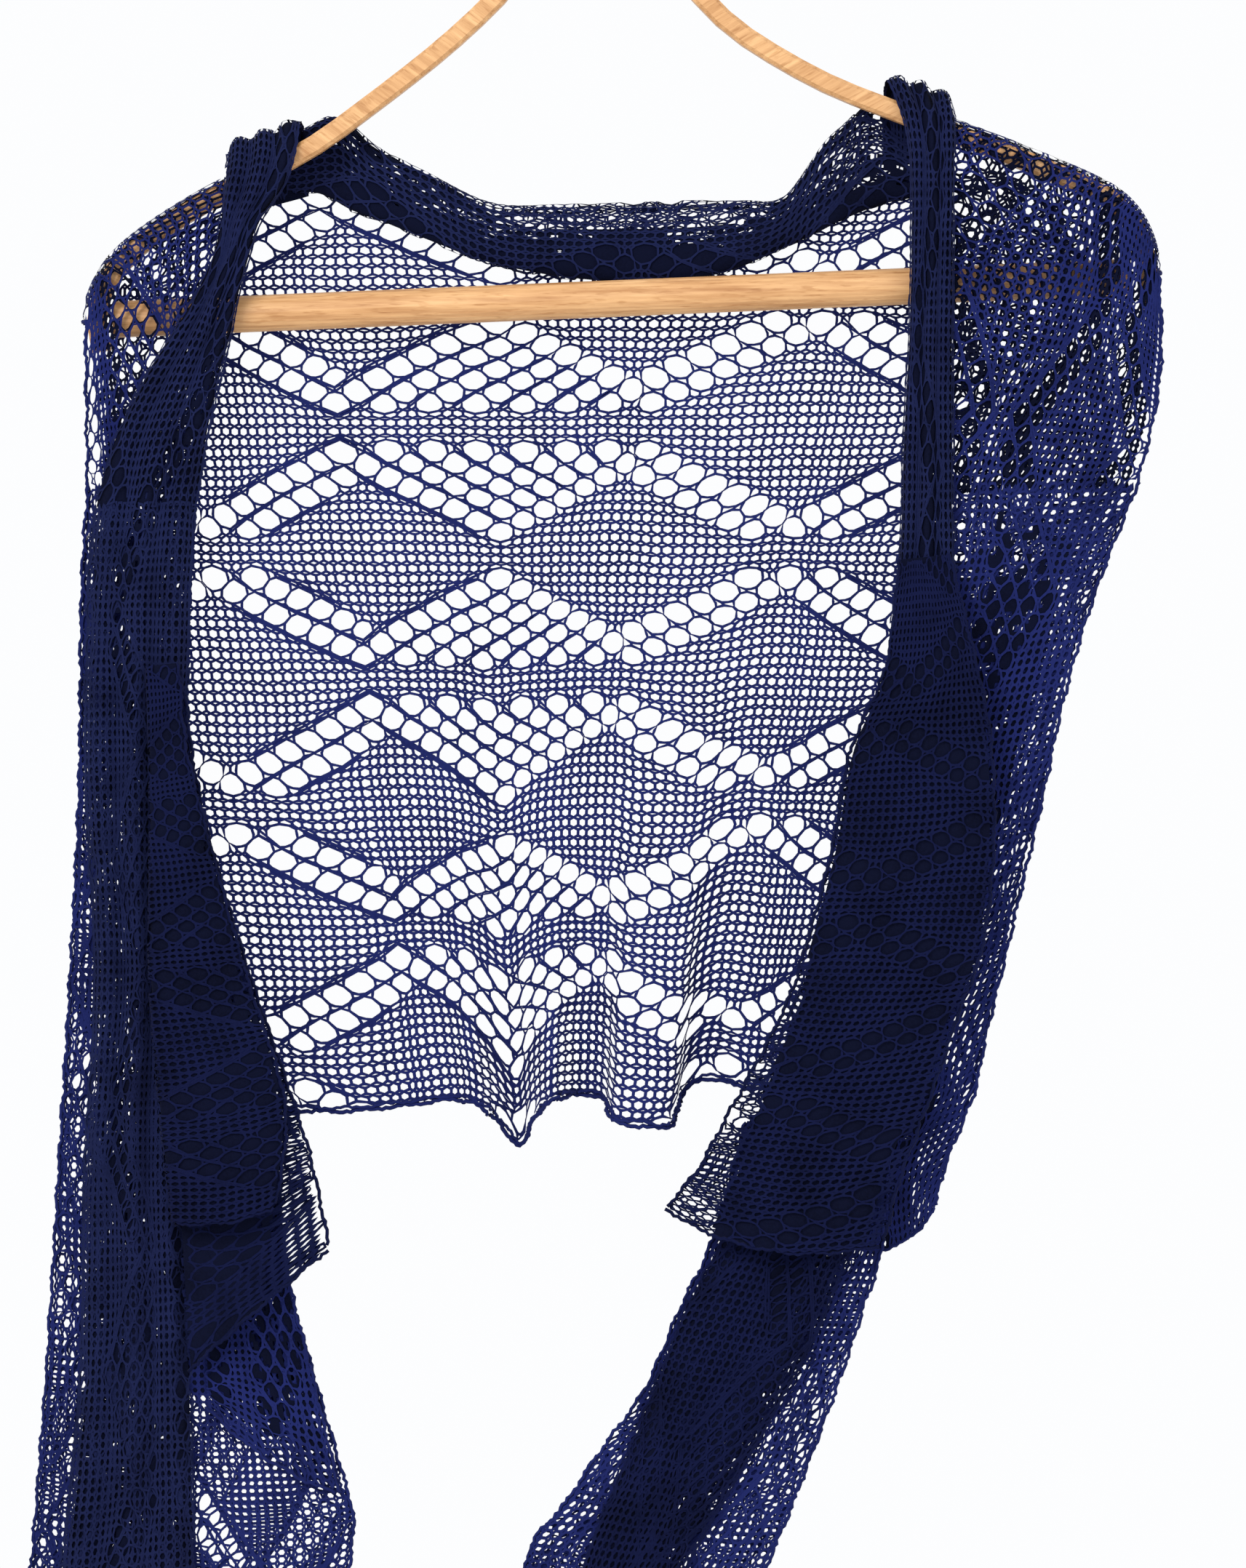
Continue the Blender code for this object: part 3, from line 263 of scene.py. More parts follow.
TAIL_RIGHT_OUTER = table(SECTION, [
    (126.1, 351.0, -10.0, 174.1, 350.3, -11.0, 221.1, 349.4, -8.0),
    (124.2, 393.2, -10.0, 164.5, 393.2, -11.0, 204.2, 392.6, -9.0),
    (116.5, 438.0, -10.0, 154.9, 434.8, -11.0, 192.6, 431.6, -9.0),
    (106.2, 486.0, -9.0, 144.6, 482.8, -11.0, 182.1, 479.6, -8.0),
    (97.3, 535.9, -8.0, 132.5, 535.9, -10.0, 169.0, 535.9, -7.0),
    (91.5, 573.0, -8.0, 126.1, 573.0, -10.0, 160.0, 573.0, -7.0),
    (89.0, 595.8, -8.0, 122.2, 595.8, -10.0, 155.2, 595.8, -7.0),
    (86.4, 623.0, -8.0, 115.2, 625.5, -10.0, 143.4, 625.5, -7.0),
    (90.9, 646.6, -8.0, 117.1, 659.4, -10.0, 139.5, 642.8, -7.0),
])
TAIL_RIGHT_MID = table(SECTION, [
    (117.8, 428.4, -15.5, 133.8, 427.9, -18.5, 150.4, 426.6, -15.5),
    (106.2, 486.0, -15.5, 128.6, 484.7, -18.5, 151.0, 483.4, -15.5),
    (94.1, 550.0, -15.5, 119.0, 550.0, -18.5, 144.0, 550.0, -15.5),
    (73.3, 604.4, -15.5, 100.5, 604.4, -18.5, 127.7, 604.4, -15.5),
    (50.9, 656.6, -15.5, 78.1, 658.8, -18.5, 105.3, 660.4, -15.5),
    (37.1, 682.8, -15.5, 64.6, 687.0, -18.5, 92.8, 691.4, -15.5),
    (24.3, 714.8, -15.5, 49.9, 719.6, -18.5, 74.9, 724.7, -15.5),
    (10.9, 748.4, -15.5, 33.3, 753.2, -18.5, 55.7, 758.0, -15.5),
    (-3.5, 785.2, -15.5, 15.7, 790.0, -18.5, 35.8, 794.8, -15.5),
    (-16.3, 828.4, -15.5, 2.9, 833.2, -18.5, 23.7, 838.0, -15.5),
    (-24.3, 882.8, -15.5, -3.5, 886.0, -18.5, 18.9, 886.0, -15.5),
])
TAIL_RIGHT_LOW = table(SECTION, [
    (62.1, 607.6, -12.0, 91.5, 607.6, -12.5, 121.3, 607.6, -12.0),
    (48.3, 656.6, -12.0, 82.9, 657.5, -12.5, 117.4, 658.2, -12.0),
    (35.8, 682.8, -12.0, 73.3, 681.8, -12.5, 110.4, 681.8, -12.0),
    (21.4, 715.8, -12.0, 60.5, 712.2, -12.5, 100.8, 711.0, -12.0),
    (2.2, 742.6, -12.0, 42.9, 747.8, -12.5, 85.1, 752.9, -12.0),
    (-10.9, 762.2, -12.0, 33.3, 767.6, -12.5, 78.1, 770.8, -12.0),
    (-25.6, 781.0, -12.0, 23.7, 786.8, -12.5, 70.1, 790.0, -12.0),
    (-29.4, 809.2, -12.0, 14.1, 818.8, -12.5, 57.6, 825.2, -12.0),
    (-33.3, 854.0, -12.0, 4.5, 860.4, -12.5, 41.0, 866.8, -12.0),
    (-34.6, 892.4, -12.0, -0.3, 897.2, -12.5, 33.9, 898.8, -12.0),
])
FLOUNCE_RIGHT = table(SECTION, [
    (124.8, 378.8, -21.3, 135.0, 377.8, -21.9, 144.6, 376.6, -21.3),
    (119.0, 422.0, -26.0, 137.6, 420.4, -29.0, 154.9, 418.8, -26.0),
    (104.3, 457.2, -27.0, 132.5, 454.6, -31.0, 161.3, 452.4, -27.0),
    (97.3, 495.6, -27.0, 129.9, 494.3, -31.0, 162.6, 492.4, -27.0),
    (86.4, 535.9, -27.0, 122.9, 535.9, -31.0, 158.1, 535.0, -27.0),
    (78.1, 560.2, -27.0, 112.6, 562.8, -31.0, 149.1, 560.2, -27.0),
    (62.1, 591.0, -27.0, 97.9, 594.2, -31.0, 138.9, 591.0, -27.0),
    (52.2, 608.9, -27.0, 89.6, 613.4, -31.0, 132.8, 607.6, -27.0),
    (42.6, 626.5, -27.0, 81.3, 633.8, -31.0, 124.5, 630.0, -27.0),
    (29.4, 642.2, -27.0, 70.1, 658.8, -31.0, 117.8, 656.9, -27.0),
])


def world(x, down, back):
    return (x, back, -down)


def tilted(x, down):
    """A point of the hanger turned by its tilt about the bearing point."""
    cosine = math.cos(HANGER_TILT)
    sine = math.sin(HANGER_TILT)
    return x * cosine + down * sine, down * cosine - x * sine


def through(values, place):
    """Catmull-Rom value at a place counted in rows, for a list of numbers or arrays."""
    last = len(values) - 1
    index = min(int(place), last - 1)
    step = place - index
    before = values[max(index - 1, 0)]
    start = values[index]
    end = values[index + 1]
    after = values[min(index + 2, last)]
    slope_start = (end - before) / 2
    slope_end = (after - start) / 2
    square = step * step
    cube = square * step
    return (
        (2 * cube - 3 * square + 1) * start
        + (cube - 2 * square + step) * slope_start
        + (3 * square - 2 * cube) * end
        + (cube - square) * slope_end
    )


def row_at(rows, place):
    """The table's row at a fractional place, every column smoothed through its neighbours."""
    return {key: through([row[key] for row in rows], place) for key in rows[0]}


def even_places(points, count):
    """Places that cut the line through the points into equal lengths."""
    fine = np.linspace(0, len(points) - 1, 40 * len(points))
    line = np.array([through(points, place) for place in fine])
    length = np.concatenate([[0], np.cumsum(np.linalg.norm(np.diff(line, axis=0), axis=1))])
    return np.interp(np.linspace(0, length[-1], count), length, fine)


def quadratic(first, middle, last, part):
    return (
        first * (1 - part) * (1 - 2 * part)
        + middle * 4 * part * (1 - part)
        + last * part * (2 * part - 1)
    )


def section_points(row, count, turn=0.0):
    """The cloth across one section; a turn folds its first edge back behind it."""
    corners = [np.array(world(row["x_" + k], row["down_" + k], row["back_" + k])) for k in "abc"]
    points = [quadratic(corners[0], corners[1], corners[2], part) for part in np.linspace(0, 1, count)]
    if turn > 0:
        points = hairpin(points, turn) + points
    return points


def hairpin(points, turn):
    """A half-round fold at the first point and a short leg behind the cloth."""
    inward = points[1] - points[0]
    inward[1] = 0
    inward /= np.linalg.norm(inward)
    leg = min(turn, 0.6 * np.linalg.norm(points[-1] - points[0]))
    centre = points[0] + np.array((0, HAIRPIN_RADIUS, 0))
    start = centre + np.array((0, HAIRPIN_RADIUS, 0))
    bend = []
    for angle in np.linspace(math.pi, 0, 6)[1:-1]:
        aside = inward * HAIRPIN_RADIUS * math.sin(angle)
        bend.append(centre - aside - np.array((0, HAIRPIN_RADIUS * math.cos(angle), 0)))
    return [start + inward * leg, start + inward * leg / 2, start] + bend


def arm_line(rows):
    return [np.array(tilted(row["x"], row["down"])) for row in rows]


def arm_frame(points, place):
    """A point of the arm and its outward direction, both in (x, down)."""
    point = through(points, place)
    ahead = through(points, min(place + 0.05, len(points) - 1))
    behind = through(points, max(place - 0.05, 0))
    along = (ahead - behind) / np.linalg.norm(ahead - behind)
    outward = np.array((along[1], -along[0]))
    if np.dot(outward, point - np.array((0, 330))) < 0:
        outward = -outward
    return point, outward


OVER_ARM = table("outward back", [
    (-3.0, 8.1),
    (1.5, 8.1),
    (5.2, 6.4),
    (6.0, 0.0),
    (5.2, -6.4),
    (1.5, -8.6),
    (-3.5, -9.2),
])


def lace_lines():
    """The eyelets of one repeat, as lines of neighbours from the upper to the lower end."""
    lines = []
    upper = FIRST_PEAK_ROW + LACE_REPEAT_ROWS // 2
    lower = FIRST_PEAK_ROW
    fan = STITCH_UNIT
    pairs = 3 * STITCH_UNIT
    for shift, steps in ((0, range(8)), (2, range(2, 8))):
        lines.append([(2 * k, upper + k - shift) for k in steps])
        lines.append([(2 * k, lower + 7 - k + shift) for k in steps])
    for line in range(8):
        steps = range(2 * line, 8 + line)
        lines.append([(fan + 2 * i, upper + 7 - i + 2 * line) for i in steps])
        lines.append([(fan + 2 * i, lower + i - 2 * line) for i in steps])
    for k in range(6):
        lines.append([(pairs + 2 * k, upper + 5 - k), (pairs + 2 * k + 2, upper + 6 - k)])
        lines.append([(pairs + 2 * k, lower + 2 + k), (pairs + 2 * k + 2, lower + 1 + k)])
    return [sorted(line, key=lambda eyelet: eyelet[1]) for line in lines]


def lace_chart():
    """Which walls are left out for the eyelets, and which threads between two eyelets of a line."""
    size = (TILE_STITCHES, LACE_REPEAT_ROWS)
    chart = {name: np.zeros(size, bool) for name in ("eyelet", "no_left", "no_right", "rising", "falling")}
    for line in lace_lines():
        for stitch, row in line:
            chart["eyelet"][stitch % size[0], row % size[1]] = True
        for (stitch, row), (other, _) in zip(line, line[1:]):
            if other > stitch:
                chart["no_left"][(stitch + 1) % size[0], row % size[1]] = True
            else:
                chart["no_right"][(stitch - 1) % size[0], row % size[1]] = True
            for beside in (-1, 1):
                if other > stitch:
                    chart["falling"][stitch % size[0], (row + beside) % size[1]] = True
                else:
                    chart["rising"][other % size[0], (row + 1 + beside) % size[1]] = True
    return chart


TOP, FOOT, MEET = 0, 1, 2
NET = "offset stitch row thread gauge until"


def chart_edges(stitches, rows, chart):
    """Threads of the net over grids of stitch and row numbers: (kind, stitch, row) pairs."""
    s, r = np.meshgrid(stitches, rows, indexing="ij")
    s = s.ravel()
    r = r.ravel()

    def has(name, stitch, row):
        return chart[name][stitch % TILE_STITCHES, row % LACE_REPEAT_ROWS]

    whole = ~has("eyelet", s, r)
    below = ~has("eyelet", s, r + 1)
    below_next = ~has("eyelet", s + 1, r + 1)
    groups = [
        (whole, (TOP, s, r), (FOOT, s, r)),
        (whole & ~has("no_left", s, r), (FOOT, s, r), (MEET, s - 1, r)),
        (whole & ~has("no_right", s, r), (FOOT, s, r), (MEET, s, r)),
        (below, (MEET, s, r), (TOP, s, r + 1)),
        (below_next, (MEET, s, r), (TOP, s + 1, r + 1)),
    ]
    starts = []
    ends = []
    for keep, start, end in groups:
        for kept, (kind, stitch, row) in ((starts, start), (ends, end)):
            kept.append(np.stack([np.full(keep.sum(), kind), stitch[keep], row[keep]], axis=1))
    return np.concatenate(starts), np.concatenate(ends)


def chart_strands(stitches, rows, chart):
    """The slanting threads that lie along the lines of eyelets, as the net's decreases make."""
    s, r = np.meshgrid(stitches, rows, indexing="ij")
    s = s.ravel()
    r = r.ravel()
    starts = []
    ends = []
    for name, step in (("rising", -1), ("falling", 1)):
        marked = chart[name][s % TILE_STITCHES, r % LACE_REPEAT_ROWS]
        marked &= ~chart["eyelet"][s % TILE_STITCHES, r % LACE_REPEAT_ROWS]
        marked &= ~chart["eyelet"][(s + 2) % TILE_STITCHES, (r + step) % LACE_REPEAT_ROWS]
        for kind in (TOP, FOOT):
            kinds = np.full(marked.sum(), kind)
            starts.append(np.stack([kinds, s[marked], r[marked]], axis=1))
            ends.append(np.stack([kinds, s[marked] + 2, r[marked] + step], axis=1))
    return np.concatenate(starts), np.concatenate(ends)


def at_rest(node):
    """Flat place in millimetres of (kind, stitch, row) before the eyelets open."""
    kind, stitch, row = node[:, 0], node[:, 1], node[:, 2]
    shift_s = np.where(kind == MEET, 0.5, 0.0)
    shift_r = np.choose(kind, [-WALL_HALF_ROWS, WALL_HALF_ROWS, 0.5])
    return np.stack([(stitch + shift_s) * STITCH_PITCH, (row + shift_r) * ROW_PITCH], axis=1)


def eyelet_outline(stitch, row, chart):
    """The nodes round an eyelet, clockwise, with the small gaps that are joined to it."""
    s, r = stitch, row
    ring = [(FOOT, s, r - 1), (MEET, s, r - 1), (TOP, s + 1, r), (FOOT, s + 1, r)]
    if chart["no_left"][(s + 1) % TILE_STITCHES, r % LACE_REPEAT_ROWS]:
        ring += [(MEET, s + 1, r), (TOP, s + 1, r + 1)]
    ring += [(MEET, s, r), (TOP, s, r + 1), (MEET, s - 1, r)]
    if chart["no_right"][(s - 1) % TILE_STITCHES, r % LACE_REPEAT_ROWS]:
        ring += [(TOP, s - 1, r + 1), (MEET, s - 2, r)]
    ring += [(FOOT, s - 1, r), (TOP, s - 1, r), (MEET, s - 1, r - 1)]
    return ring


def tile_index(node):
    stitch = node[:, 1] % TILE_STITCHES
    row = node[:, 2] % LACE_REPEAT_ROWS
    return (node[:, 0] * TILE_STITCHES + stitch) * LACE_REPEAT_ROWS + row


def opened_tile(chart):
    """How far each node of one repeat moves when the eyelets open and the threads find their balance."""
    starts, ends = chart_edges(np.arange(TILE_STITCHES), np.arange(LACE_REPEAT_ROWS), chart)
    i = tile_index(starts)
    j = tile_index(ends)
    span = at_rest(ends) - at_rest(starts)
    slant = (1 - 2 * WALL_HALF_ROWS) / 2
    wall_weight = slant / WALL_HALF_ROWS
    weight = np.where((starts[:, 0] == TOP) & (ends[:, 0] == FOOT), wall_weight, 1.0)

    around_start = []
    around_end = []
    for stitch, row in zip(*np.nonzero(chart["eyelet"])):
        ring = np.array(eyelet_outline(int(stitch), int(row), chart))
        around_start.append(ring)
        around_end.append(np.roll(ring, -1, axis=0))
    around_start = np.concatenate(around_start)
    around_end = np.concatenate(around_end)
    a = tile_index(around_start)
    b = tile_index(around_end)
    rim_span = at_rest(around_end) - at_rest(around_start)

    count = 3 * TILE_STITCHES * LACE_REPEAT_ROWS
    moved = np.zeros((count, 2))
    for _ in range(700):
        pull = (span + moved[j] - moved[i]) * weight[:, None]
        rim = (rim_span + moved[b] - moved[a]) * HOLE_PRESSURE / 2
        outward = np.stack([rim[:, 1], -rim[:, 0]], axis=1)
        force = -TETHER * moved
        for axis in range(2):
            force[:, axis] += np.bincount(i, pull[:, axis], count) - np.bincount(j, pull[:, axis], count)
            force[:, axis] += np.bincount(a, outward[:, axis], count) + np.bincount(b, outward[:, axis], count)
        moved += 0.16 * force
    return moved


CHART = lace_chart()
OPENED = opened_tile(CHART)


def wander(places, seed, size):
    """A smooth irregular shift of flat places, as hand knitting has."""
    rng = np.random.default_rng(seed)
    shift = np.zeros_like(places)
    for length, share in ((160.0, 0.6), (61.0, 0.3), (23.0, 0.22), (9.0, 0.1)):
        for axis in range(2):
            turn = rng.uniform(0, 2 * math.pi)
            phase = rng.uniform(0, 2 * math.pi)
            wave = (places[:, 0] * math.cos(turn) + places[:, 1] * math.sin(turn)) * 2 * math.pi / length
            shift[:, axis] += share * size * np.sin(wave + phase)
    return shift


def net_over(stitches, rows, seed=0):
    """The nodes' flat places (stitch, row) and the threads of a stretch of net."""
    starts, ends = chart_edges(np.arange(*stitches), np.arange(*rows), CHART)
    strand_starts, strand_ends = chart_strands(np.arange(*stitches), np.arange(*rows), CHART)
    both = np.concatenate([starts, ends, strand_starts, strand_ends])
    nodes, inverse = np.unique(both, axis=0, return_inverse=True)
    inverse = inverse.ravel()
    count = len(starts)
    edges = np.stack([inverse[:count], inverse[count:2 * count]], axis=1)
    strands = inverse[2 * count:].reshape(2, -1).T
    places = at_rest(nodes) + OPENED[tile_index(nodes)]
    rng = np.random.default_rng(seed + 1000)
    places += wander(places, seed, 0.7) + rng.normal(0, 0.11, places.shape)
    return places / (STITCH_PITCH, ROW_PITCH), edges, strands, nodes[:, 0]


def trimmed(edges, count, keep):
    """Threads whose two nodes are kept, without loose ends."""
    edges = edges[keep[edges[:, 0]] & keep[edges[:, 1]]]
    for _ in range(4):
        degree = np.bincount(edges.ravel(), minlength=count)
        edges = edges[(degree[edges[:, 0]] > 1) & (degree[edges[:, 1]] > 1)]
    return edges


def lay_net(sheets, points, normals, edges, strands, kinds, thread, tone=0):
    """Adds the threads of a net whose nodes are in place: the loops, then the slanting strands on them."""
    used = np.unique(edges)
    renumber = np.full(len(points), -1)
    renumber[used] = np.arange(len(used))
    edges = renumber[edges]
    strands = renumber[strands]
    strands = strands[(strands >= 0).all(axis=1)]
    points, normals, kinds = points[used], normals[used], kinds[used]
    reach = np.linalg.norm(points[edges[:, 0]] - points[edges[:, 1]], axis=1)
    shortest = np.full(len(points), 9.0)
    np.minimum.at(shortest, edges[:, 0], reach)
    np.minimum.at(shortest, edges[:, 1], reach)
    half = np.where(kinds == MEET, 1.0, KNOT_SCALE) * (thread[used] if np.ndim(thread) else thread)
    half = np.minimum(half, 0.45 * np.maximum(shortest, 0.4))
    sheets.add(*ribbons(points, normals, edges, half), tone=tone)
    if len(strands):
        sheets.add(*ribbons(points + normals * 0.1, normals, strands, half * STRAND_SCALE), tone=tone)


def yarn_cover(thread, stitch_mm, row_mm):
    """The part of a net that its yarn covers, from the length of thread in one stitch."""
    wall = 2 * WALL_HALF_ROWS * row_mm
    slant = math.hypot(stitch_mm / 2, (0.5 - WALL_HALF_ROWS) * row_mm)
    return min(2 * thread * (wall + 4 * slant) / (stitch_mm * row_mm), 1.0)


def bilinear(grid, along, across):
    """The grid's value at places counted in its rows and columns."""
    i = np.clip(along.astype(int), 0, grid.shape[0] - 2)
    j = np.clip(across.astype(int), 0, grid.shape[1] - 2)
    u = (along - i)[:, None]
    v = (across - j)[:, None]
    return (
        grid[i, j] * (1 - u) * (1 - v)
        + grid[i + 1, j] * u * (1 - v)
        + grid[i, j + 1] * (1 - u) * v
        + grid[i + 1, j + 1] * u * v
    )


def unit_rows(vectors):
    return vectors / np.maximum(np.linalg.norm(vectors, axis=-1, keepdims=True), 1e-9)


def surface_normals(grid):
    return unit_rows(np.cross(np.gradient(grid, axis=0), np.gradient(grid, axis=1)))


def ribbons(points, normals, edges, half_widths):
    """Threads as flat strips that meet at the nodes: corner points, four-cornered and three-cornered faces."""
    count = len(edges)
    source = np.concatenate([edges[:, 0], edges[:, 1]])
    target = np.concatenate([edges[:, 1], edges[:, 0]])
    normal = normals[source]
    toward = points[target] - points[source]
    toward = unit_rows(toward - normal * (toward * normal).sum(axis=1, keepdims=True))
    helper = np.where(np.abs(normals[:, 2:3]) < 0.9, (0.0, 0.0, 1.0), (1.0, 0.0, 0.0))
    first = unit_rows(np.cross(helper, normals))
    second = np.cross(normals, first)
    angle = np.arctan2((toward * second[source]).sum(axis=1), (toward * first[source]).sum(axis=1))
    order = np.lexsort((angle, source))
    where = np.empty_like(order)
    where[order] = np.arange(len(order))
    sources = source[order]
    begins = np.searchsorted(sources, sources, side="left")
    finishes = np.searchsorted(sources, sources, side="right") - 1
    index = np.arange(len(order))
    following = np.where(index == finishes, begins, index + 1)
    previous = np.where(index == begins, finishes, index - 1)
    left = np.cross(normal, toward)[order]
    right = -left[following]
    bend = np.maximum(1 + (left * right).sum(axis=1, keepdims=True), 0.3)
    corners = points[sources] + (left + right) / bend * half_widths[sources][:, None]
    one = where[:count]
    two = where[count:]
    quads = [np.stack([previous[one], two, previous[two], one], axis=1)]
    degree = finishes - begins + 1
    fours = index[(index == begins) & (degree == 4)]
    quads.append(np.stack([fours, fours + 1, fours + 2, fours + 3], axis=1))
    threes = index[(index == begins) & (degree == 3)]
    return corners, np.concatenate(quads), np.stack([threes, threes + 1, threes + 2], axis=1)


def mesh_object(name, points, quads, triangles, tones):
    mesh = bpy.data.meshes.new(name)
    mesh.vertices.add(len(points))
    mesh.vertices.foreach_set("co", (np.asarray(points) * MM).astype(np.float32).ravel())
    corners = np.concatenate([quads.ravel(), triangles.ravel()]).astype(np.int32)
    mesh.loops.add(len(corners))
    mesh.loops.foreach_set("vertex_index", corners)
    starts = np.concatenate([
        np.arange(len(quads)) * 4,
        len(quads) * 4 + np.arange(len(triangles)) * 3,
    ]).astype(np.int32)
    mesh.polygons.add(len(starts))
    mesh.polygons.foreach_set("loop_start", starts)
    mesh.polygons.foreach_set("material_index", tones.astype(np.int32))
    mesh.update(calc_edges=True)
    mesh.validate()
    item = bpy.data.objects.new(name, mesh)
    bpy.context.scene.collection.objects.link(item)
    return item


NO_TRIANGLES = np.zeros((0, 3), int)


class Sheets:
    """Collects the threads and linings of several layers into one mesh; linings and tone 1 layers have the second
    material, the darkest yarn copy, which is painted shade.
    """

    def __init__(self):
        self.points = []
        self.quads = []
        self.triangles = []
        self.quad_tones = []
        self.triangle_tones = []
        self.count = 0

    def add(self, points, quads, triangles=NO_TRIANGLES, tone=0):
        self.points.append(points)
        self.quads.append(quads + self.count)
        self.triangles.append(triangles + self.count)
        self.quad_tones.append(np.full(len(quads), tone))
        self.triangle_tones.append(np.full(len(triangles), tone))
        self.count += len(points)

    def make(self, name):
        return mesh_object(
            name,
            np.concatenate(self.points),
            np.concatenate(self.quads),
            np.concatenate(self.triangles),
            np.concatenate(self.quad_tones + self.triangle_tones),
        )


def lining(sheets, grid, reach, specks, seed):
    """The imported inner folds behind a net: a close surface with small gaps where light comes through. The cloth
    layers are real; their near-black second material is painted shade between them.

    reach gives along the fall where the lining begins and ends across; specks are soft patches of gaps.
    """
    rng = np.random.default_rng(seed)
    a = (np.arange(grid.shape[0] - 1)[:, None] + 0.5) / (grid.shape[0] - 1)
    c = (np.arange(grid.shape[1] - 1)[None, :] + 0.5) / (grid.shape[1] - 1)
    marks, left, right = np.array(reach).T
    keep = (c > np.interp(a, marks, left)) & (c < np.interp(a, marks, right))
    keep &= (a > marks[0]) & (a < marks[-1])
    share = np.zeros(keep.shape)
    for along, across, spread_along, spread_across, much in specks:
        share += much * np.exp(-((a - along) / spread_along) ** 2 - ((c - across) / spread_across) ** 2)
    keep &= rng.random(keep.shape) > share
    around = np.pad(keep, 1).astype(int)
    beside = around[:-2, 1:-1] + around[2:, 1:-1] + around[1:-1, :-2] + around[1:-1, 2:]
    keep &= beside > 1
    i, j = np.nonzero(keep)
    number = np.arange(grid.shape[0] * grid.shape[1]).reshape(grid.shape[:2])
    quads = np.stack([number[i, j], number[i + 1, j], number[i + 1, j + 1], number[i, j + 1]], axis=1)
    used, inverse = np.unique(quads, return_inverse=True)
    sheets.add(grid.reshape(-1, 3)[used], inverse.reshape(-1, 4), tone=1)
    return keep.mean()


def cord(points, radius, sides=5):
    """A round cord through points: its surface points and faces."""
    points = np.array(points)
    along = unit_rows(np.gradient(points, axis=0))
    helper = np.where(np.abs(along[:, 1:2]) < 0.8, (0.0, 1.0, 0.0), (1.0, 0.0, 0.0))
    first = unit_rows(np.cross(along, helper))
    second = np.cross(along, first)
    turns = 2 * math.pi * np.arange(sides) / sides
    ring = first[:, None] * np.cos(turns)[None, :, None] + second[:, None] * np.sin(turns)[None, :, None]
    shell = (points[:, None] + ring * radius).reshape(-1, 3)
    i = np.arange(len(points) - 1)[:, None] * sides
    k = np.arange(sides)[None, :]
    after = (k + 1) % sides
    quads = np.stack([i + k, i + after, i + sides + after, i + sides + k], axis=2).reshape(-1, 4)
    last = (len(points) - 1) * sides
    caps = [(0, m + 1, m) for m in range(1, sides - 1)]
    caps += [(last, last + m, last + m + 1) for m in range(1, sides - 1)]
    return shell, quads, np.array(caps)


def wavy(line, seed, size=0.7, pitch=STITCH_PITCH):
    """The line resampled finely and shifted a little to and fro, as a cast-off edge is."""
    line = np.array(line)
    length = np.concatenate([[0], np.cumsum(np.linalg.norm(np.diff(line, axis=0), axis=1))])
    even = np.arange(0, length[-1], 1.6)
    fine = np.stack([np.interp(even, length, line[:, k]) for k in range(3)], axis=1)
    rng = np.random.default_rng(seed)
    beat = 2 * math.pi * even / pitch + rng.uniform(0, 6)
    slow = 2 * math.pi * even / 17.0 + rng.uniform(0, 6)
    along = unit_rows(np.gradient(fine, axis=0))
    aside = unit_rows(np.cross(along, (0.0, 1.0, 0.0)))
    shift = size * (0.5 * np.sin(beat) + 0.6 * np.sin(slow))
    return fine + aside * shift[:, None] + rng.normal(0, 0.12, fine.shape)


def dense_sheet(rows, waves=0, wave_depth=0.0, turn=0.0, crossing=0, across=41):
    """The same surface as the solid's, finely sampled: rows along the fall, columns across."""
    middles = [np.array(world(row["x_b"], row["down_b"], row["back_b"])) for row in rows]
    length = sum(np.linalg.norm(after - before) for before, after in zip(middles, middles[1:]))
    places = even_places(middles, max(int(length / 3), 12))
    grid = np.array([section_points(row_at(rows, place), across, turn) for place in places])
    if waves:
        normals = surface_normals(grid)
        if normals[-1, :, 1].mean() > 0:
            normals = -normals
        widths = np.linalg.norm(grid[:, -1] - grid[:, 0], axis=1)
        depths = np.minimum(wave_depth, 0.0028 * widths ** 2)
        if crossing:
            depths = depths * np.clip(places / 2, 0, 1)
        crests = 1 - np.cos(2 * math.pi * waves * np.linspace(0, 1, grid.shape[1]))
        grid = grid + normals * (depths[:, None] * crests[None, :])[:, :, None]
    return grid


def lengths_of(grid):
    """Mean developed length along the rows and across them, in millimetres."""
    along = np.linalg.norm(np.diff(grid, axis=0), axis=2).sum(axis=0).mean()
    across = np.linalg.norm(np.diff(grid, axis=1), axis=2).sum(axis=1).mean()
    return along, across


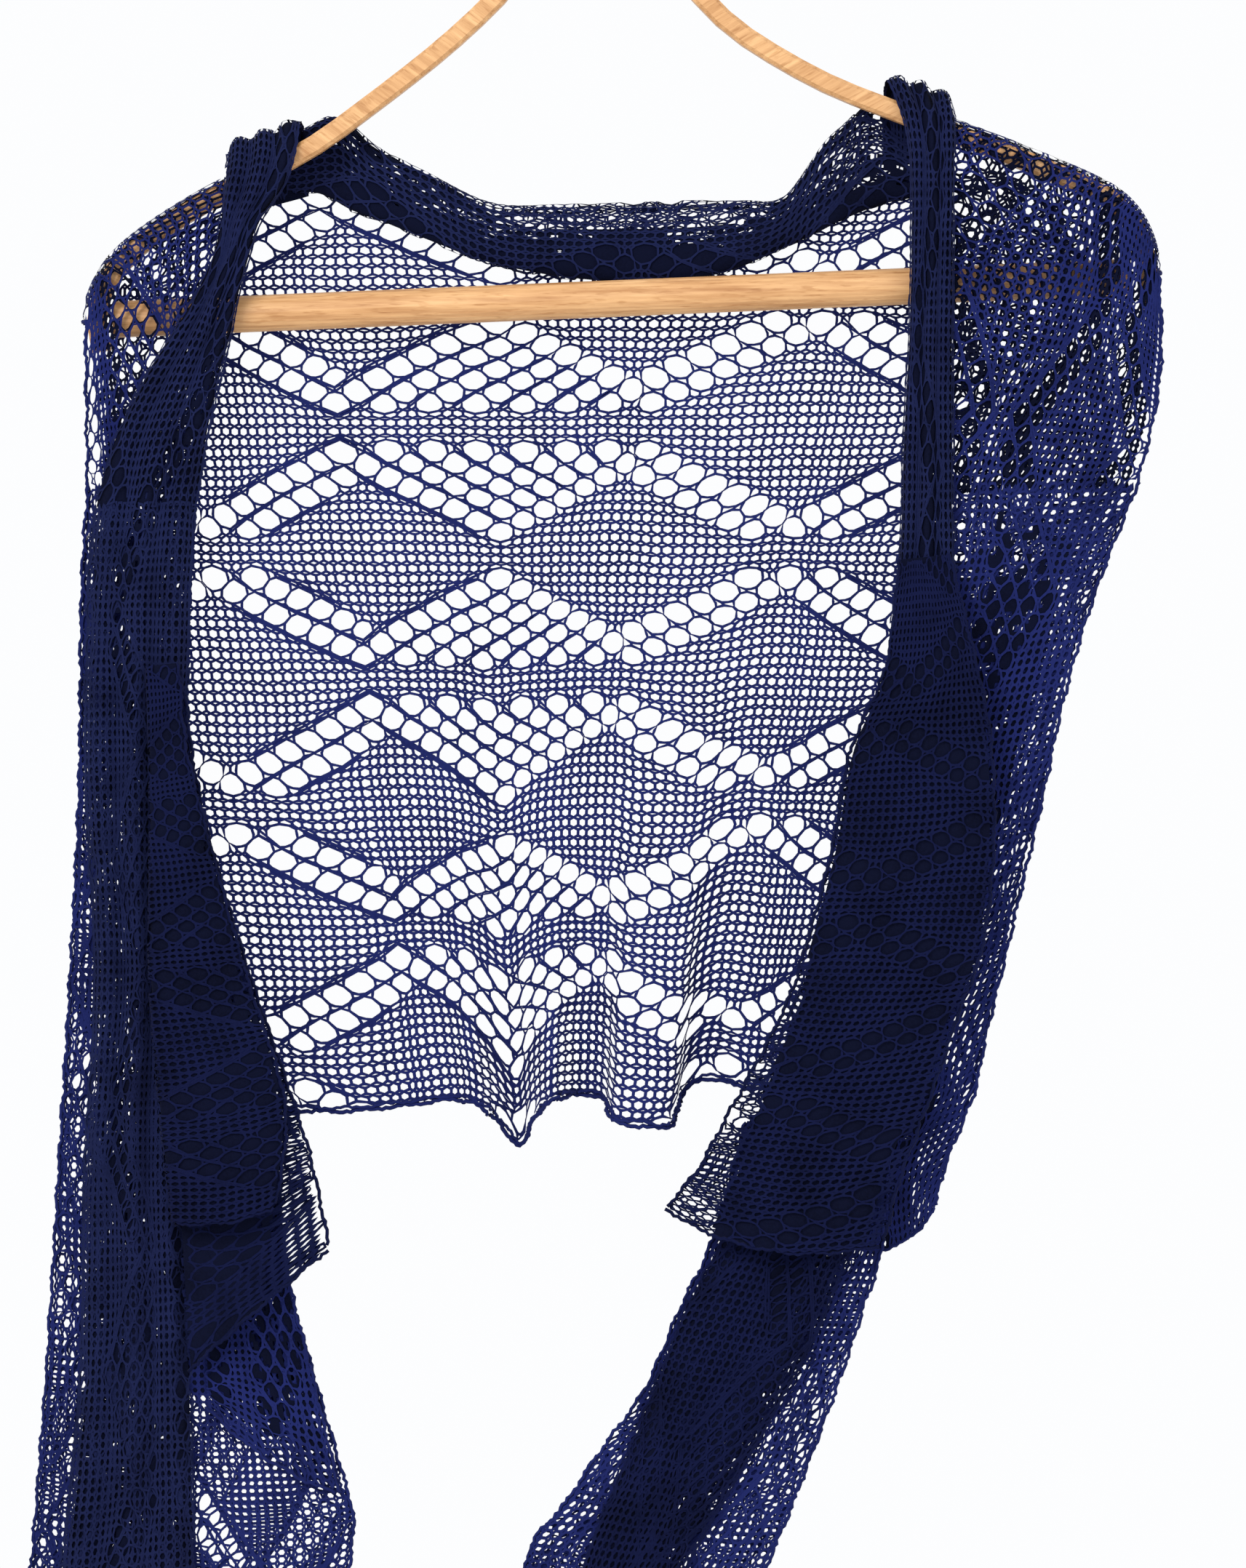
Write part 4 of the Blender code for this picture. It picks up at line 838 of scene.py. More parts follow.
def draped_net(sheets, grid, net, stitch_mm, row_mm, seed, ripple=0.4, turned=False, tone=0):
    """Net laid over a surface grid, stitches along it and rows across it, or turned the other way."""
    if turned:
        grid = grid.transpose(1, 0, 2)
    along, across = lengths_of(grid)
    first_stitch = net["stitch"]
    first_row = net["row"]
    stitch_count = max(int(round(along / stitch_mm / net["gauge"])), 4)
    row_count = max(int(round(across / row_mm)), 3)
    stitches = (first_stitch - 2, first_stitch + stitch_count + 2)
    rows = (first_row - 2, first_row + row_count + 2)
    flat, edges, strands, kinds = net_over(stitches, rows, seed)
    a = (flat[:, 0] - first_stitch) / stitch_count
    b = (flat[:, 1] - first_row) / row_count
    inside = (a > 0) & (a < 1) & (b > 0) & (b < net["until"])
    edges = trimmed(edges, len(flat), inside)
    i = np.clip(a, 0, 1) * (grid.shape[0] - 1)
    j = np.clip(b, 0, 1) * (grid.shape[1] - 1)
    normals = surface_normals(grid)
    if normals[len(normals) // 2:, :, 1].mean() > 0:
        normals = -normals
    points = bilinear(grid, i, j)
    normal = unit_rows(bilinear(normals, i, j))
    lift = net["offset"] + ripple * wander(flat * (STITCH_PITCH, ROW_PITCH), seed + 7, 1.0)[:, 0]
    points = points + normal * lift[:, None]
    lay_net(sheets, points, normal, edges, strands, kinds, net["thread"], tone)
    return yarn_cover(net["thread"], stitch_mm * net["gauge"], row_mm) * along * across * net["until"]


def thread_material(name, deep, light, sheen):
    material = bpy.data.materials.new(name)
    material.use_nodes = True
    tree = material.node_tree
    shader = tree.nodes["Principled BSDF"]
    place = tree.nodes.new("ShaderNodeTexCoord")
    cloud = tree.nodes.new("ShaderNodeTexNoise")
    cloud.inputs["Scale"].default_value = 45.0
    cloud.inputs["Detail"].default_value = 3.0
    fibre = tree.nodes.new("ShaderNodeTexNoise")
    fibre.inputs["Scale"].default_value = 900.0
    fibre.inputs["Detail"].default_value = 2.0
    both = tree.nodes.new("ShaderNodeMath")
    both.operation = "MULTIPLY_ADD"
    both.inputs[1].default_value = 0.55
    ramp = tree.nodes.new("ShaderNodeValToRGB")
    ramp.color_ramp.elements[0].position = 0.32
    ramp.color_ramp.elements[0].color = (*deep, 1.0)
    ramp.color_ramp.elements[1].position = 0.85
    ramp.color_ramp.elements[1].color = (*light, 1.0)
    bump = tree.nodes.new("ShaderNodeBump")
    bump.inputs["Strength"].default_value = 0.5
    bump.inputs["Distance"].default_value = 0.0003
    links = tree.links
    links.new(place.outputs["Object"], cloud.inputs["Vector"])
    links.new(place.outputs["Object"], fibre.inputs["Vector"])
    links.new(fibre.outputs["Fac"], both.inputs[0])
    links.new(cloud.outputs["Fac"], both.inputs[2])
    links.new(both.outputs["Value"], ramp.inputs["Fac"])
    links.new(ramp.outputs["Color"], shader.inputs["Base Color"])
    links.new(fibre.outputs["Fac"], bump.inputs["Height"])
    links.new(bump.outputs["Normal"], shader.inputs["Normal"])
    shader.inputs["Roughness"].default_value = 0.88
    shader.inputs["Specular IOR Level"].default_value = 0.035
    shader.inputs["Sheen Weight"].default_value = sheen
    shader.inputs["Sheen Roughness"].default_value = 0.5
    return material


def wood_material(name, lean):
    """Pale varnished beech with its grain along a direction that leans from the level."""
    material = bpy.data.materials.new(name)
    material.use_nodes = True
    tree = material.node_tree
    shader = tree.nodes["Principled BSDF"]
    place = tree.nodes.new("ShaderNodeTexCoord")
    turn = tree.nodes.new("ShaderNodeMapping")
    turn.inputs["Rotation"].default_value = (0.0, lean, 0.0)
    stretch = tree.nodes.new("ShaderNodeMapping")
    stretch.inputs["Scale"].default_value = (9.0, 170.0, 170.0)
    grain = tree.nodes.new("ShaderNodeTexNoise")
    grain.inputs["Scale"].default_value = 2.2
    grain.inputs["Detail"].default_value = 6.0
    grain.inputs["Roughness"].default_value = 0.62
    fleck_stretch = tree.nodes.new("ShaderNodeMapping")
    fleck_stretch.inputs["Scale"].default_value = (60.0, 420.0, 420.0)
    fleck = tree.nodes.new("ShaderNodeTexNoise")
    fleck.inputs["Scale"].default_value = 2.0
    fleck.inputs["Detail"].default_value = 2.0
    blotch = tree.nodes.new("ShaderNodeTexNoise")
    blotch.inputs["Scale"].default_value = 26.0
    blotch.inputs["Detail"].default_value = 2.0
    ramp = tree.nodes.new("ShaderNodeValToRGB")
    ramp.color_ramp.elements[0].position = 0.30
    ramp.color_ramp.elements[0].color = (0.40, 0.195, 0.072, 1.0)
    ramp.color_ramp.elements[1].position = 0.66
    ramp.color_ramp.elements[1].color = (0.68, 0.41, 0.195, 1.0)
    flecks = tree.nodes.new("ShaderNodeValToRGB")
    flecks.color_ramp.elements[0].position = 0.30
    flecks.color_ramp.elements[0].color = (0.72, 0.62, 0.5, 1.0)
    flecks.color_ramp.elements[1].position = 0.44
    flecks.color_ramp.elements[1].color = (1.0, 1.0, 1.0, 1.0)
    patches = tree.nodes.new("ShaderNodeValToRGB")
    patches.color_ramp.elements[0].position = 0.35
    patches.color_ramp.elements[0].color = (0.86, 0.78, 0.70, 1.0)
    patches.color_ramp.elements[1].position = 0.7
    patches.color_ramp.elements[1].color = (1.0, 1.0, 1.0, 1.0)
    tint = tree.nodes.new("ShaderNodeMix")
    tint.data_type = "RGBA"
    tint.blend_type = "MULTIPLY"
    tint.inputs["Factor"].default_value = 0.75
    worn = tree.nodes.new("ShaderNodeMix")
    worn.data_type = "RGBA"
    worn.blend_type = "MULTIPLY"
    worn.inputs["Factor"].default_value = 0.6
    bump = tree.nodes.new("ShaderNodeBump")
    bump.inputs["Strength"].default_value = 0.25
    bump.inputs["Distance"].default_value = 0.0004
    rough = tree.nodes.new("ShaderNodeMapRange")
    rough.inputs["To Min"].default_value = 0.34
    rough.inputs["To Max"].default_value = 0.55
    links = tree.links
    links.new(place.outputs["Object"], turn.inputs["Vector"])
    links.new(turn.outputs["Vector"], stretch.inputs["Vector"])
    links.new(turn.outputs["Vector"], fleck_stretch.inputs["Vector"])
    links.new(stretch.outputs["Vector"], grain.inputs["Vector"])
    links.new(fleck_stretch.outputs["Vector"], fleck.inputs["Vector"])
    links.new(place.outputs["Object"], blotch.inputs["Vector"])
    links.new(grain.outputs["Fac"], ramp.inputs["Fac"])
    links.new(fleck.outputs["Fac"], flecks.inputs["Fac"])
    links.new(blotch.outputs["Fac"], patches.inputs["Fac"])
    links.new(ramp.outputs["Color"], tint.inputs["A"])
    links.new(flecks.outputs["Color"], tint.inputs["B"])
    links.new(tint.outputs["Result"], worn.inputs["A"])
    links.new(patches.outputs["Color"], worn.inputs["B"])
    links.new(worn.outputs["Result"], shader.inputs["Base Color"])
    links.new(grain.outputs["Fac"], bump.inputs["Height"])
    links.new(bump.outputs["Normal"], shader.inputs["Normal"])
    links.new(grain.outputs["Fac"], rough.inputs["Value"])
    links.new(rough.outputs["Result"], shader.inputs["Roughness"])
    shader.inputs["Specular IOR Level"].default_value = 0.4
    return material


def steel_material():
    material = bpy.data.materials.new("satin_steel")
    material.use_nodes = True
    tree = material.node_tree
    shader = tree.nodes["Principled BSDF"]
    place = tree.nodes.new("ShaderNodeTexCoord")
    scratch = tree.nodes.new("ShaderNodeTexNoise")
    scratch.inputs["Scale"].default_value = 260.0
    scratch.inputs["Detail"].default_value = 4.0
    ramp = tree.nodes.new("ShaderNodeValToRGB")
    ramp.color_ramp.elements[0].color = (0.45, 0.45, 0.44, 1.0)
    ramp.color_ramp.elements[1].color = (0.72, 0.72, 0.70, 1.0)
    rough = tree.nodes.new("ShaderNodeMapRange")
    rough.inputs["To Min"].default_value = 0.22
    rough.inputs["To Max"].default_value = 0.42
    links = tree.links
    links.new(place.outputs["Object"], scratch.inputs["Vector"])
    links.new(scratch.outputs["Fac"], ramp.inputs["Fac"])
    links.new(ramp.outputs["Color"], shader.inputs["Base Color"])
    links.new(scratch.outputs["Fac"], rough.inputs["Value"])
    links.new(rough.outputs["Result"], shader.inputs["Roughness"])
    shader.inputs["Metallic"].default_value = 1.0
    return material


NAVY_YARN = thread_material("navy_yarn", (0.0040, 0.0060, 0.036), (0.010, 0.015, 0.088), 0.02)
# A darker copy of the same navy yarn for the layered bands, tail middles and collar: painted shade.
YARN_PAINTED_SHADE = thread_material("navy_yarn_painted_shade", (0.0030, 0.0043, 0.019), (0.0075, 0.011, 0.046), 0.02)
# A still darker copy of the same yarn for the flounces and the right tail's middle: painted shade.
YARN_PAINTED_DARKER_SHADE = thread_material("navy_yarn_painted_darker_shade", (0.0016, 0.0025, 0.012), (0.0042, 0.0064, 0.033), 0.015)
# The darkest copy of the same yarn, for linings and rear net layers: painted shade.
YARN_PAINTED_DARKEST_SHADE = thread_material("navy_yarn_painted_darkest_shade", (0.0010, 0.0014, 0.0055), (0.0026, 0.0038, 0.015), 0.01)


def finish_cloth(name, sheets, node, material):
    piece = sheets.make(name)
    piece.data.materials.append(material)
    # The second slot is the darkest yarn copy: painted shade for linings and rear layers.
    piece.data.materials.append(YARN_PAINTED_DARKEST_SHADE)
    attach(piece, "root")
    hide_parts(node)
    return piece


def back_place(unit, row_number):
    """Mid-surface of the back at a unit and a knitted row, with the part of its fall."""
    units = [row["unit"] for row in BACK_STATIONS]
    place = float(np.interp(unit, units, range(len(units))))
    row = row_at(BACK_STATIONS, place)
    hem = (HEM_DOWN - ROWS_TOP_DOWN) / ROW_PITCH
    top = (row["down_top"] - ROWS_TOP_DOWN) / ROW_PITCH
    fall = (row_number - top) / (hem - top)
    held = min(max(fall, -TOP_LEAD), 1.0)
    x = quadratic(row["x_top"], row["x_mid"], row["x_hem"], held)
    down = row["down_top"] + (HEM_DOWN - row["down_top"]) * held
    down += (row["down_hem"] - HEM_DOWN) * held ** 3
    if held < 0.5:
        back = row["back_top"] + (row["back_mid"] - row["back_top"]) * 2 * held
    else:
        back = row["back_mid"] + (row["back_hem"] - row["back_mid"]) * (2 * held - 1) ** 1.7
    return world(x, down, back), fall


def build_back():
    """The net of the back, exactly over the charted eyelets of its solid."""
    units = np.linspace(-0.9, 6.3, 181)
    numbers = np.linspace(-9, 85, 95)
    grid = np.empty((len(units), len(numbers), 3))
    falls = np.empty((len(units), len(numbers), 1))
    for i, unit in enumerate(units):
        for j, number in enumerate(numbers):
            grid[i, j], falls[i, j] = back_place(unit, number)
    flat, edges, strands, kinds = net_over((-13, 90), (-9, 87), seed=3)
    i = (flat[:, 0] / STITCH_UNIT - units[0]) / (units[1] - units[0])
    j = (flat[:, 1] - numbers[0]) / (numbers[1] - numbers[0])
    on_grid = (i > 0) & (i < len(units) - 1) & (j > 0) & (j < len(numbers) - 1)
    i = np.clip(i, 0, len(units) - 1.001)
    j = np.clip(j, 0, len(numbers) - 1.001)
    fall = bilinear(falls, i, j)[:, 0]
    units_here = flat[:, 0] / STITCH_UNIT
    begins = np.interp(units_here, (0.3, 0.45, 0.8, 1.0), (0.0, -TOP_LEAD, -TOP_LEAD, 0.0))
    edges = trimmed(edges, len(flat), on_grid & (fall > begins) & (fall < 1.0))
    points = bilinear(grid, i, j)
    normal = unit_rows(bilinear(surface_normals(grid), i, j))
    sheets = Sheets()
    thread = BACK_THREAD * (1 + HEM_THREAD_GAIN * np.clip(fall, 0.0, 1.0) ** 2)
    lay_net(sheets, points, -normal, edges, strands, kinds, thread)
    hem = [back_place(unit, 84.7)[0] for unit in np.linspace(-0.9, 6.3, 260)]
    sheets.add(*cord(wavy(hem, 11), 0.95))
    sheets.add(*cord(wavy(np.array(hem) + (0.6, -0.6, 1.5), 12), 0.7))
    finish_cloth(
        "net_back", sheets, "back_panel", NAVY_YARN,
    )


def collar_grid():
    folds = [np.array(world(row["x_fold"], row["down_fold"], 0)) for row in COLLAR_CLOTH]
    grid = []
    for place in even_places(folds, 60):
        row = row_at(COLLAR_CLOTH, place)
        line = []
        for angle in np.linspace(-0.3, math.pi, 9):
            down = row["down_fold"] + 3.6 - 3.0 * math.sin(angle)
            line.append(world(row["x_fold"], down, 14.8 + 3.0 * math.cos(angle)))
        half_roll = min(6.0, (row["down_roll"] - row["down_fold"]) / 4.2)
        centre = row["down_roll"] - WALL / 2 - half_roll
        start = row["down_fold"] + 3.6
        for part in (0.2, 0.4, 0.6, 0.8):
            down = start + (centre - start) * part
            x = row["x_fold"] + (row["x_roll"] - row["x_fold"]) * part
            line.append(world(x, down, 11.8 - 2.4 * part))
        for angle in np.linspace(0, math.radians(290), 18):
            shrink = 1 - 0.3 * angle / math.radians(290)
            down = centre + half_roll * shrink * math.sin(angle)
            line.append(world(row["x_roll"], down, 12.0 - 2.6 * shrink * math.cos(angle)))
        grid.append(line)
    return np.array(grid)


def even_across(grid, columns):
    """The grid with its columns spaced evenly along each row."""
    spaced = []
    for line in grid:
        length = np.concatenate([[0], np.cumsum(np.linalg.norm(np.diff(line, axis=0), axis=1))])
        at = np.linspace(0, length[-1], columns)
        spaced.append(np.stack([np.interp(at, length, line[:, k]) for k in range(3)], axis=1))
    return np.array(spaced)


COLLAR_NETS = table(NET, [
    (0.8, 18, 3, 0.38, 1.0, 1.0),
    (-0.7, 5, 8, 0.36, 1.0, 1.0),
])
COLLAR_LINING = [
    (0.0, 0.02, 1.0),
    (0.24, 0.05, 1.0),
    (0.36, 0.34, 1.0),
    (0.70, 0.34, 1.0),
    (0.80, 0.10, 1.0),
    (1.0, 0.06, 1.0),
]
COLLAR_CLOTH = (
    table("x_fold down_fold x_roll down_roll", [
        (-127.0, 206.0, -125.0, 228.5),
        (-115.0, 200.0, -112.0, 229.5),
        (-105.5, 195.5, -104.0, 233.5),
        (-99.0, 200.0, -97.5, 237.0),
    ])
    + COLLAR_STATIONS[2:11]
    + table("x_fold down_fold x_roll down_roll", [(94.0, 208.5, 90.9, 246.0)])
    + COLLAR_STATIONS[12:]
    + table("x_fold down_fold x_roll down_roll", [(121.0, 193.0, 120.5, 233.4), (132.0, 203.0, 132.0, 231.4)])
)
COLLAR_SPECKS = [
    (0.14, 0.22, 0.16, 0.22, 0.17),
    (0.34, 0.38, 0.10, 0.10, 0.25),
    (0.70, 0.38, 0.10, 0.10, 0.30),
    (0.92, 0.34, 0.09, 0.22, 0.62),
]


def with_lead(grid, before, after=0.0):
    """The surface carried on straight for so many millimetres before its first row and after its last."""
    first = grid[0] + unit_rows(grid[0] - grid[1]) * before
    last = grid[-1] + unit_rows(grid[-1] - grid[-2]) * after
    return np.concatenate([first[None], grid, last[None]][0 if before else 1:3 if after else 2])


def even_along(grid, rows):
    """The grid with its rows spaced evenly along each column."""
    return even_across(grid.transpose(1, 0, 2), rows).transpose(1, 0, 2)


def build_collar():
    grid = even_along(even_across(collar_grid(), 57), 101)
    along, across = lengths_of(grid)
    sheets = Sheets()
    packed = lining(sheets, grid, COLLAR_LINING, COLLAR_SPECKS, 20)
    area = packed * along * across
    for number, net in enumerate(COLLAR_NETS):
        area += draped_net(sheets, grid, net, 4.1, 3.5, 21 + number)
    # The collar's yarn is the darker copy of the navy yarn, painted shade of its fold.
    finish_cloth(
        "net_collar", sheets, "collar_fold", YARN_PAINTED_SHADE,
    )


def shoulder_grid(arm_rows, inner_place, hem, folds, fold_depth, bow):
    points = arm_line(arm_rows)
    last = len(points) - 1
    grid = []
    for part in np.linspace(0, 1, 41):
        point, outward = arm_frame(points, inner_place + (last - 0.95 - inner_place) * part)
        column = []
        turned = min(max((abs(outward[0]) - 0.55) / 0.4, 0.0), 1.0)
        for step in OVER_ARM:
            reach = step["outward"]
            if step["back"] < 0.0:
                reach += (4.2 - reach) * turned
            x, down = point + outward * reach
            column.append(np.array(world(x, down, step["back"])))
        low = [np.array(world(hem["x_" + k], hem["down_" + k] - SEAM_GAP, hem["back_" + k])) for k in "abc"]
        foot = quadratic(low[0], low[1], low[2], part)
        top = column[-1].copy()
        wave = fold_depth * (1 - math.cos(2 * math.pi * folds * part)) / 2
        for fall in np.linspace(0, 1, 14)[1:]:
            hanging = top + (foot - top) * fall
            hanging[1] -= (wave + 1.2) * math.sin(math.pi * fall)
            hanging[0] += bow * part ** 3 * math.sin(math.pi * fall)
            column.append(hanging)
        grid.append(column)
    grid = even_across(np.array(grid), 41)
    return grid.transpose(1, 0, 2)


def hem_of(rows, mirrored):
    """The first section of a tail, named from its inner edge to its outer one."""
    top = rows[0]
    if not mirrored:
        return top
    swap = {"a": "c", "b": "b", "c": "a"}
    return {key[:-1] + swap[key[-1]]: value for key, value in top.items()}


SHOULDER_NETS_LEFT = table(NET, [
    (0.0, 9, 4, 0.40, 1.0, 1.0),
    (-1.0, 12, 6, 0.42, 0.93, 0.86),
])
SHOULDER_NETS_RIGHT = table(NET, [
    (0.2, 37, 10, 0.44, 1.0, 1.0),
    (-0.8, 20, 1, 0.46, 1.0, 0.97),
    (-1.7, 5, 17, 0.46, 1.0, 0.90),
])


def build_shoulders():
    for side, arm_rows, inner, hem, folds, depth, bow, nets in (
        ("left", ARM_LEFT, 6.72, hem_of(TAIL_LEFT_OUTER, True), 3, 1.0, 0.0, SHOULDER_NETS_LEFT),
        ("right", ARM_RIGHT, 6.28, hem_of(TAIL_RIGHT_OUTER, False), 4, 1.6, 5.0, SHOULDER_NETS_RIGHT),
    ):
        grid = shoulder_grid(arm_rows, inner, hem, folds, depth, bow)
        grid = even_along(with_lead(grid, 0.0, 2.0), 60)
        sheets = Sheets()
        area = 0.0
        for number, net in enumerate(nets):
            # Layers after the first take the second material: painted shade behind the front net.
            area += draped_net(sheets, grid, net, 3.5, 3.2, 40, 0.2, tone=min(number, 1))
        sheets.add(*cord(wavy(grid[:, -1], 41), 0.7))
        finish_cloth(
            "net_shoulder_" + side, sheets, "shoulder_" + side, NAVY_YARN,
        )


DOUBLE = table(NET, [(0.5, 0, 0, 0.46, 1.0, 1.0), (-0.6, 3, 4, 0.48, 0.94, 1.0)])
TRIPLE = table(NET, [(0.6, 0, 0, 0.44, 1.0, 1.0), (-0.5, 3, 4, 0.46, 0.94, 1.0), (-1.4, 31, 9, 0.46, 1.05, 1.0)])
ROPE = table(NET, [(0.9, 0, 0, 0.36, 1.0, 1.0), (-0.9, 17, 9, 0.36, 1.0, 1.0)])
FRONT = table(NET, [(1.0, 0, 0, 0.42, 1.0, 1.0), (-0.8, 17, 9, 0.36, 1.1, 1.0)])
INNER = table(NET, [(1.1, 0, 0, 0.40, 1.0, 1.0), (0.4, 31, 4, 0.38, 1.0, 1.0)])

WHOLE = [(0.0, 0.03, 0.97), (1.0, 0.03, 0.97)]
NO_LINING = []
# The yarn column gives the deep and front stretches darker copies of the one navy yarn: painted shade.
STRETCHES = table(
    "node rows slot yarn nets stitch row stitch_mm row_mm waves depth turn crossing cords turned lead lining specks on",
    [
        ("band_left", BAND_LEFT, "navy_knit_deep", YARN_PAINTED_SHADE, ROPE, 3, 2, 4.0, 1.9, 3, 1.4, 0.0, 4, "", False, 0.0,
         WHOLE, [(0.72, 0.75, 0.16, 0.24, 0.26), (1.0, 0.7, 0.16, 0.26, 0.26)], "hanger_arm_left"),
        ("band_right", BAND_RIGHT, "navy_knit_deep", YARN_PAINTED_SHADE, ROPE, 20, 7, 4.0, 1.8, 3, 1.4, 0.0, 4, "", False, 0.0,
         WHOLE, [(0.85, 0.75, 0.2, 0.2, 0.08)], "hanger_arm_right"),
        ("tail_left_outer", TAIL_LEFT_OUTER, "navy_knit", NAVY_YARN, TRIPLE, 20, 0, 4.1, 3.4, 1, 0.6, 0.0, 0,
         "a d", False, 3.0, NO_LINING, [], "net_shoulder_left"),
        ("tail_left_mid", TAIL_LEFT_MID, "navy_knit_deep", YARN_PAINTED_SHADE, INNER, 44, 5, 3.7, 2.6, 3, 1.4, 0.0, 0,
         "d", False, 3.0, [(0.0, 0.06, 0.97), (0.45, 0.10, 0.97), (1.0, 0.03, 0.97)],
         [(0.02, 0.6, 0.08, 0.3, 0.25), (0.14, 0.22, 0.14, 0.22, 0.30), (0.38, 0.25, 0.12, 0.20, 0.28),
          (0.62, 0.40, 0.2, 0.30, 0.06), (0.3, 0.7, 0.3, 0.2, 0.03)], "net_band_left"),
        ("flounce_left_front", FLOUNCE_LEFT_FRONT, "navy_knit_front", YARN_PAINTED_DARKER_SHADE, FRONT, 12, 3, 2.9, 2.9, 0, 0.0,
         10.0, 0, "c d", True, 0.0, WHOLE, [(0.55, 0.95, 0.2, 0.08, 0.1)], "net_tail_left_mid"),
        ("flounce_left_back", FLOUNCE_LEFT_BACK, "navy_knit", YARN_PAINTED_DARKER_SHADE, DOUBLE, 26, 15, 3.2, 2.8, 0, 0.0, 0.0, 0,
         "c d", True, 0.0, [(0.0, 0.03, 0.97), (0.5, 0.03, 0.95), (1.0, 0.03, 0.6)],
         [(0.75, 0.85, 0.2, 0.2, 0.25)], "net_tail_left_mid"),
        ("tail_left_low", TAIL_LEFT_LOW, "navy_knit", NAVY_YARN, DOUBLE, 60, 8, 3.2, 2.9, 0, 0.0, 0.0, 0,
         "c d", False, 0.0, [(0.0, 0.03, 0.97), (0.38, 0.03, 0.97)], [(0.22, 0.75, 0.15, 0.3, 0.14)],
         "net_tail_left_mid"),
        ("tail_left_scallop", TAIL_LEFT_SCALLOP, "navy_knit", NAVY_YARN, DOUBLE, 8, 16, 3.3, 3.0, 0, 0.0, 0.0, 0,
         "c d", False, 0.0, [(0.0, 0.03, 0.97), (0.9, 0.03, 0.97)],
         [(0.6, 0.6, 0.5, 0.6, 0.32)], "net_tail_left_low"),
        ("tail_right_outer", TAIL_RIGHT_OUTER, "navy_knit", NAVY_YARN, TRIPLE, 70, 12, 3.7, 3.2, 1, 0.4, 0.0, 0,
         "c d", False, 3.0, [(0.0, 0.0, 0.84), (1.0, 0.0, 0.76)],
         [(0.2, 0.4, 0.5, 0.5, 0.16), (0.0, 0.5, 0.10, 2.0, 0.8)],
         "net_shoulder_right"),
        ("tail_right_mid", TAIL_RIGHT_MID, "navy_knit_deep", YARN_PAINTED_DARKER_SHADE, INNER, 52, 3, 3.8, 2.9, 2, 1.4, 0.0, 0,
         "d", False, 3.0, [(0.0, 0.03, 0.97), (0.5, 0.03, 0.9), (1.0, 0.03, 0.9)],
         [(0.55, 0.88, 0.3, 0.1, 0.2), (0.78, 0.7, 0.1, 0.12, 0.15)], "net_band_right"),
        ("tail_right_low", TAIL_RIGHT_LOW, "navy_knit", NAVY_YARN, TRIPLE, 18, 6, 3.7, 3.0, 0, 0.0, 0.0, 0,
         "a c d", False, 0.0, NO_LINING, [], "net_tail_right_mid"),
        ("flounce_right", FLOUNCE_RIGHT, "navy_knit_front", YARN_PAINTED_DARKER_SHADE, FRONT, 34, 2, 3.1, 3.3, 0, 0.0, 0.0, 0,
         "a c d", True, 0.0, [(0.0, 0.02, 0.98), (0.55, 0.03, 0.97), (1.0, 0.24, 0.92)], [], "net_tail_right_mid"),
    ],
)


def build_stretch(spec, number):
    grid = dense_sheet(spec["rows"], spec["waves"], spec["depth"], spec["turn"], spec["crossing"])
    if spec["turn"]:
        grid = even_across(grid, 49)
    if spec["lead"]:
        grid = even_along(with_lead(grid, spec["lead"]), len(grid) + 2)
    along, across = lengths_of(grid)
    sheets = Sheets()
    area = 0.0
    layers = len(spec["nets"])
    if spec["lining"]:
        area += lining(sheets, grid, spec["lining"], spec["specks"], 50 + number) * along * across
        layers += 1
    for index, net in enumerate(spec["nets"]):
        placed = dict(net, stitch=spec["stitch"] + net["stitch"], row=spec["row"] + net["row"])
        seed = 60 + 10 * number + index
        area += draped_net(
            sheets, grid, placed, spec["stitch_mm"], spec["row_mm"], seed, turned=spec["turned"],
        )
    edges = {"a": grid[:, 0], "c": grid[:, -1], "d": grid[-1]}
    for k, letter in enumerate(spec["cords"].split()):
        sheets.add(*cord(wavy(edges[letter], 300 + 10 * number + k), 0.8))
    finish_cloth(
        "net_" + spec["node"], sheets, spec["node"], spec["yarn"],
    )


def dress_hanger():
    nodes = frame["nodes"]
    finishes = {
        "hanger_bar": wood_material("beech_bar", 0.0),
        "hanger_arm_left": wood_material("beech_arm_left", math.radians(-36)),
        "hanger_arm_right": wood_material("beech_arm_right", math.radians(30)),
    }
    steel = steel_material()
    for name in ("hanger_neck", "hanger_hook"):
        finishes[name] = steel
    for name, material in finishes.items():
        nodes[name].data.materials.clear()
        nodes[name].data.materials.append(material)


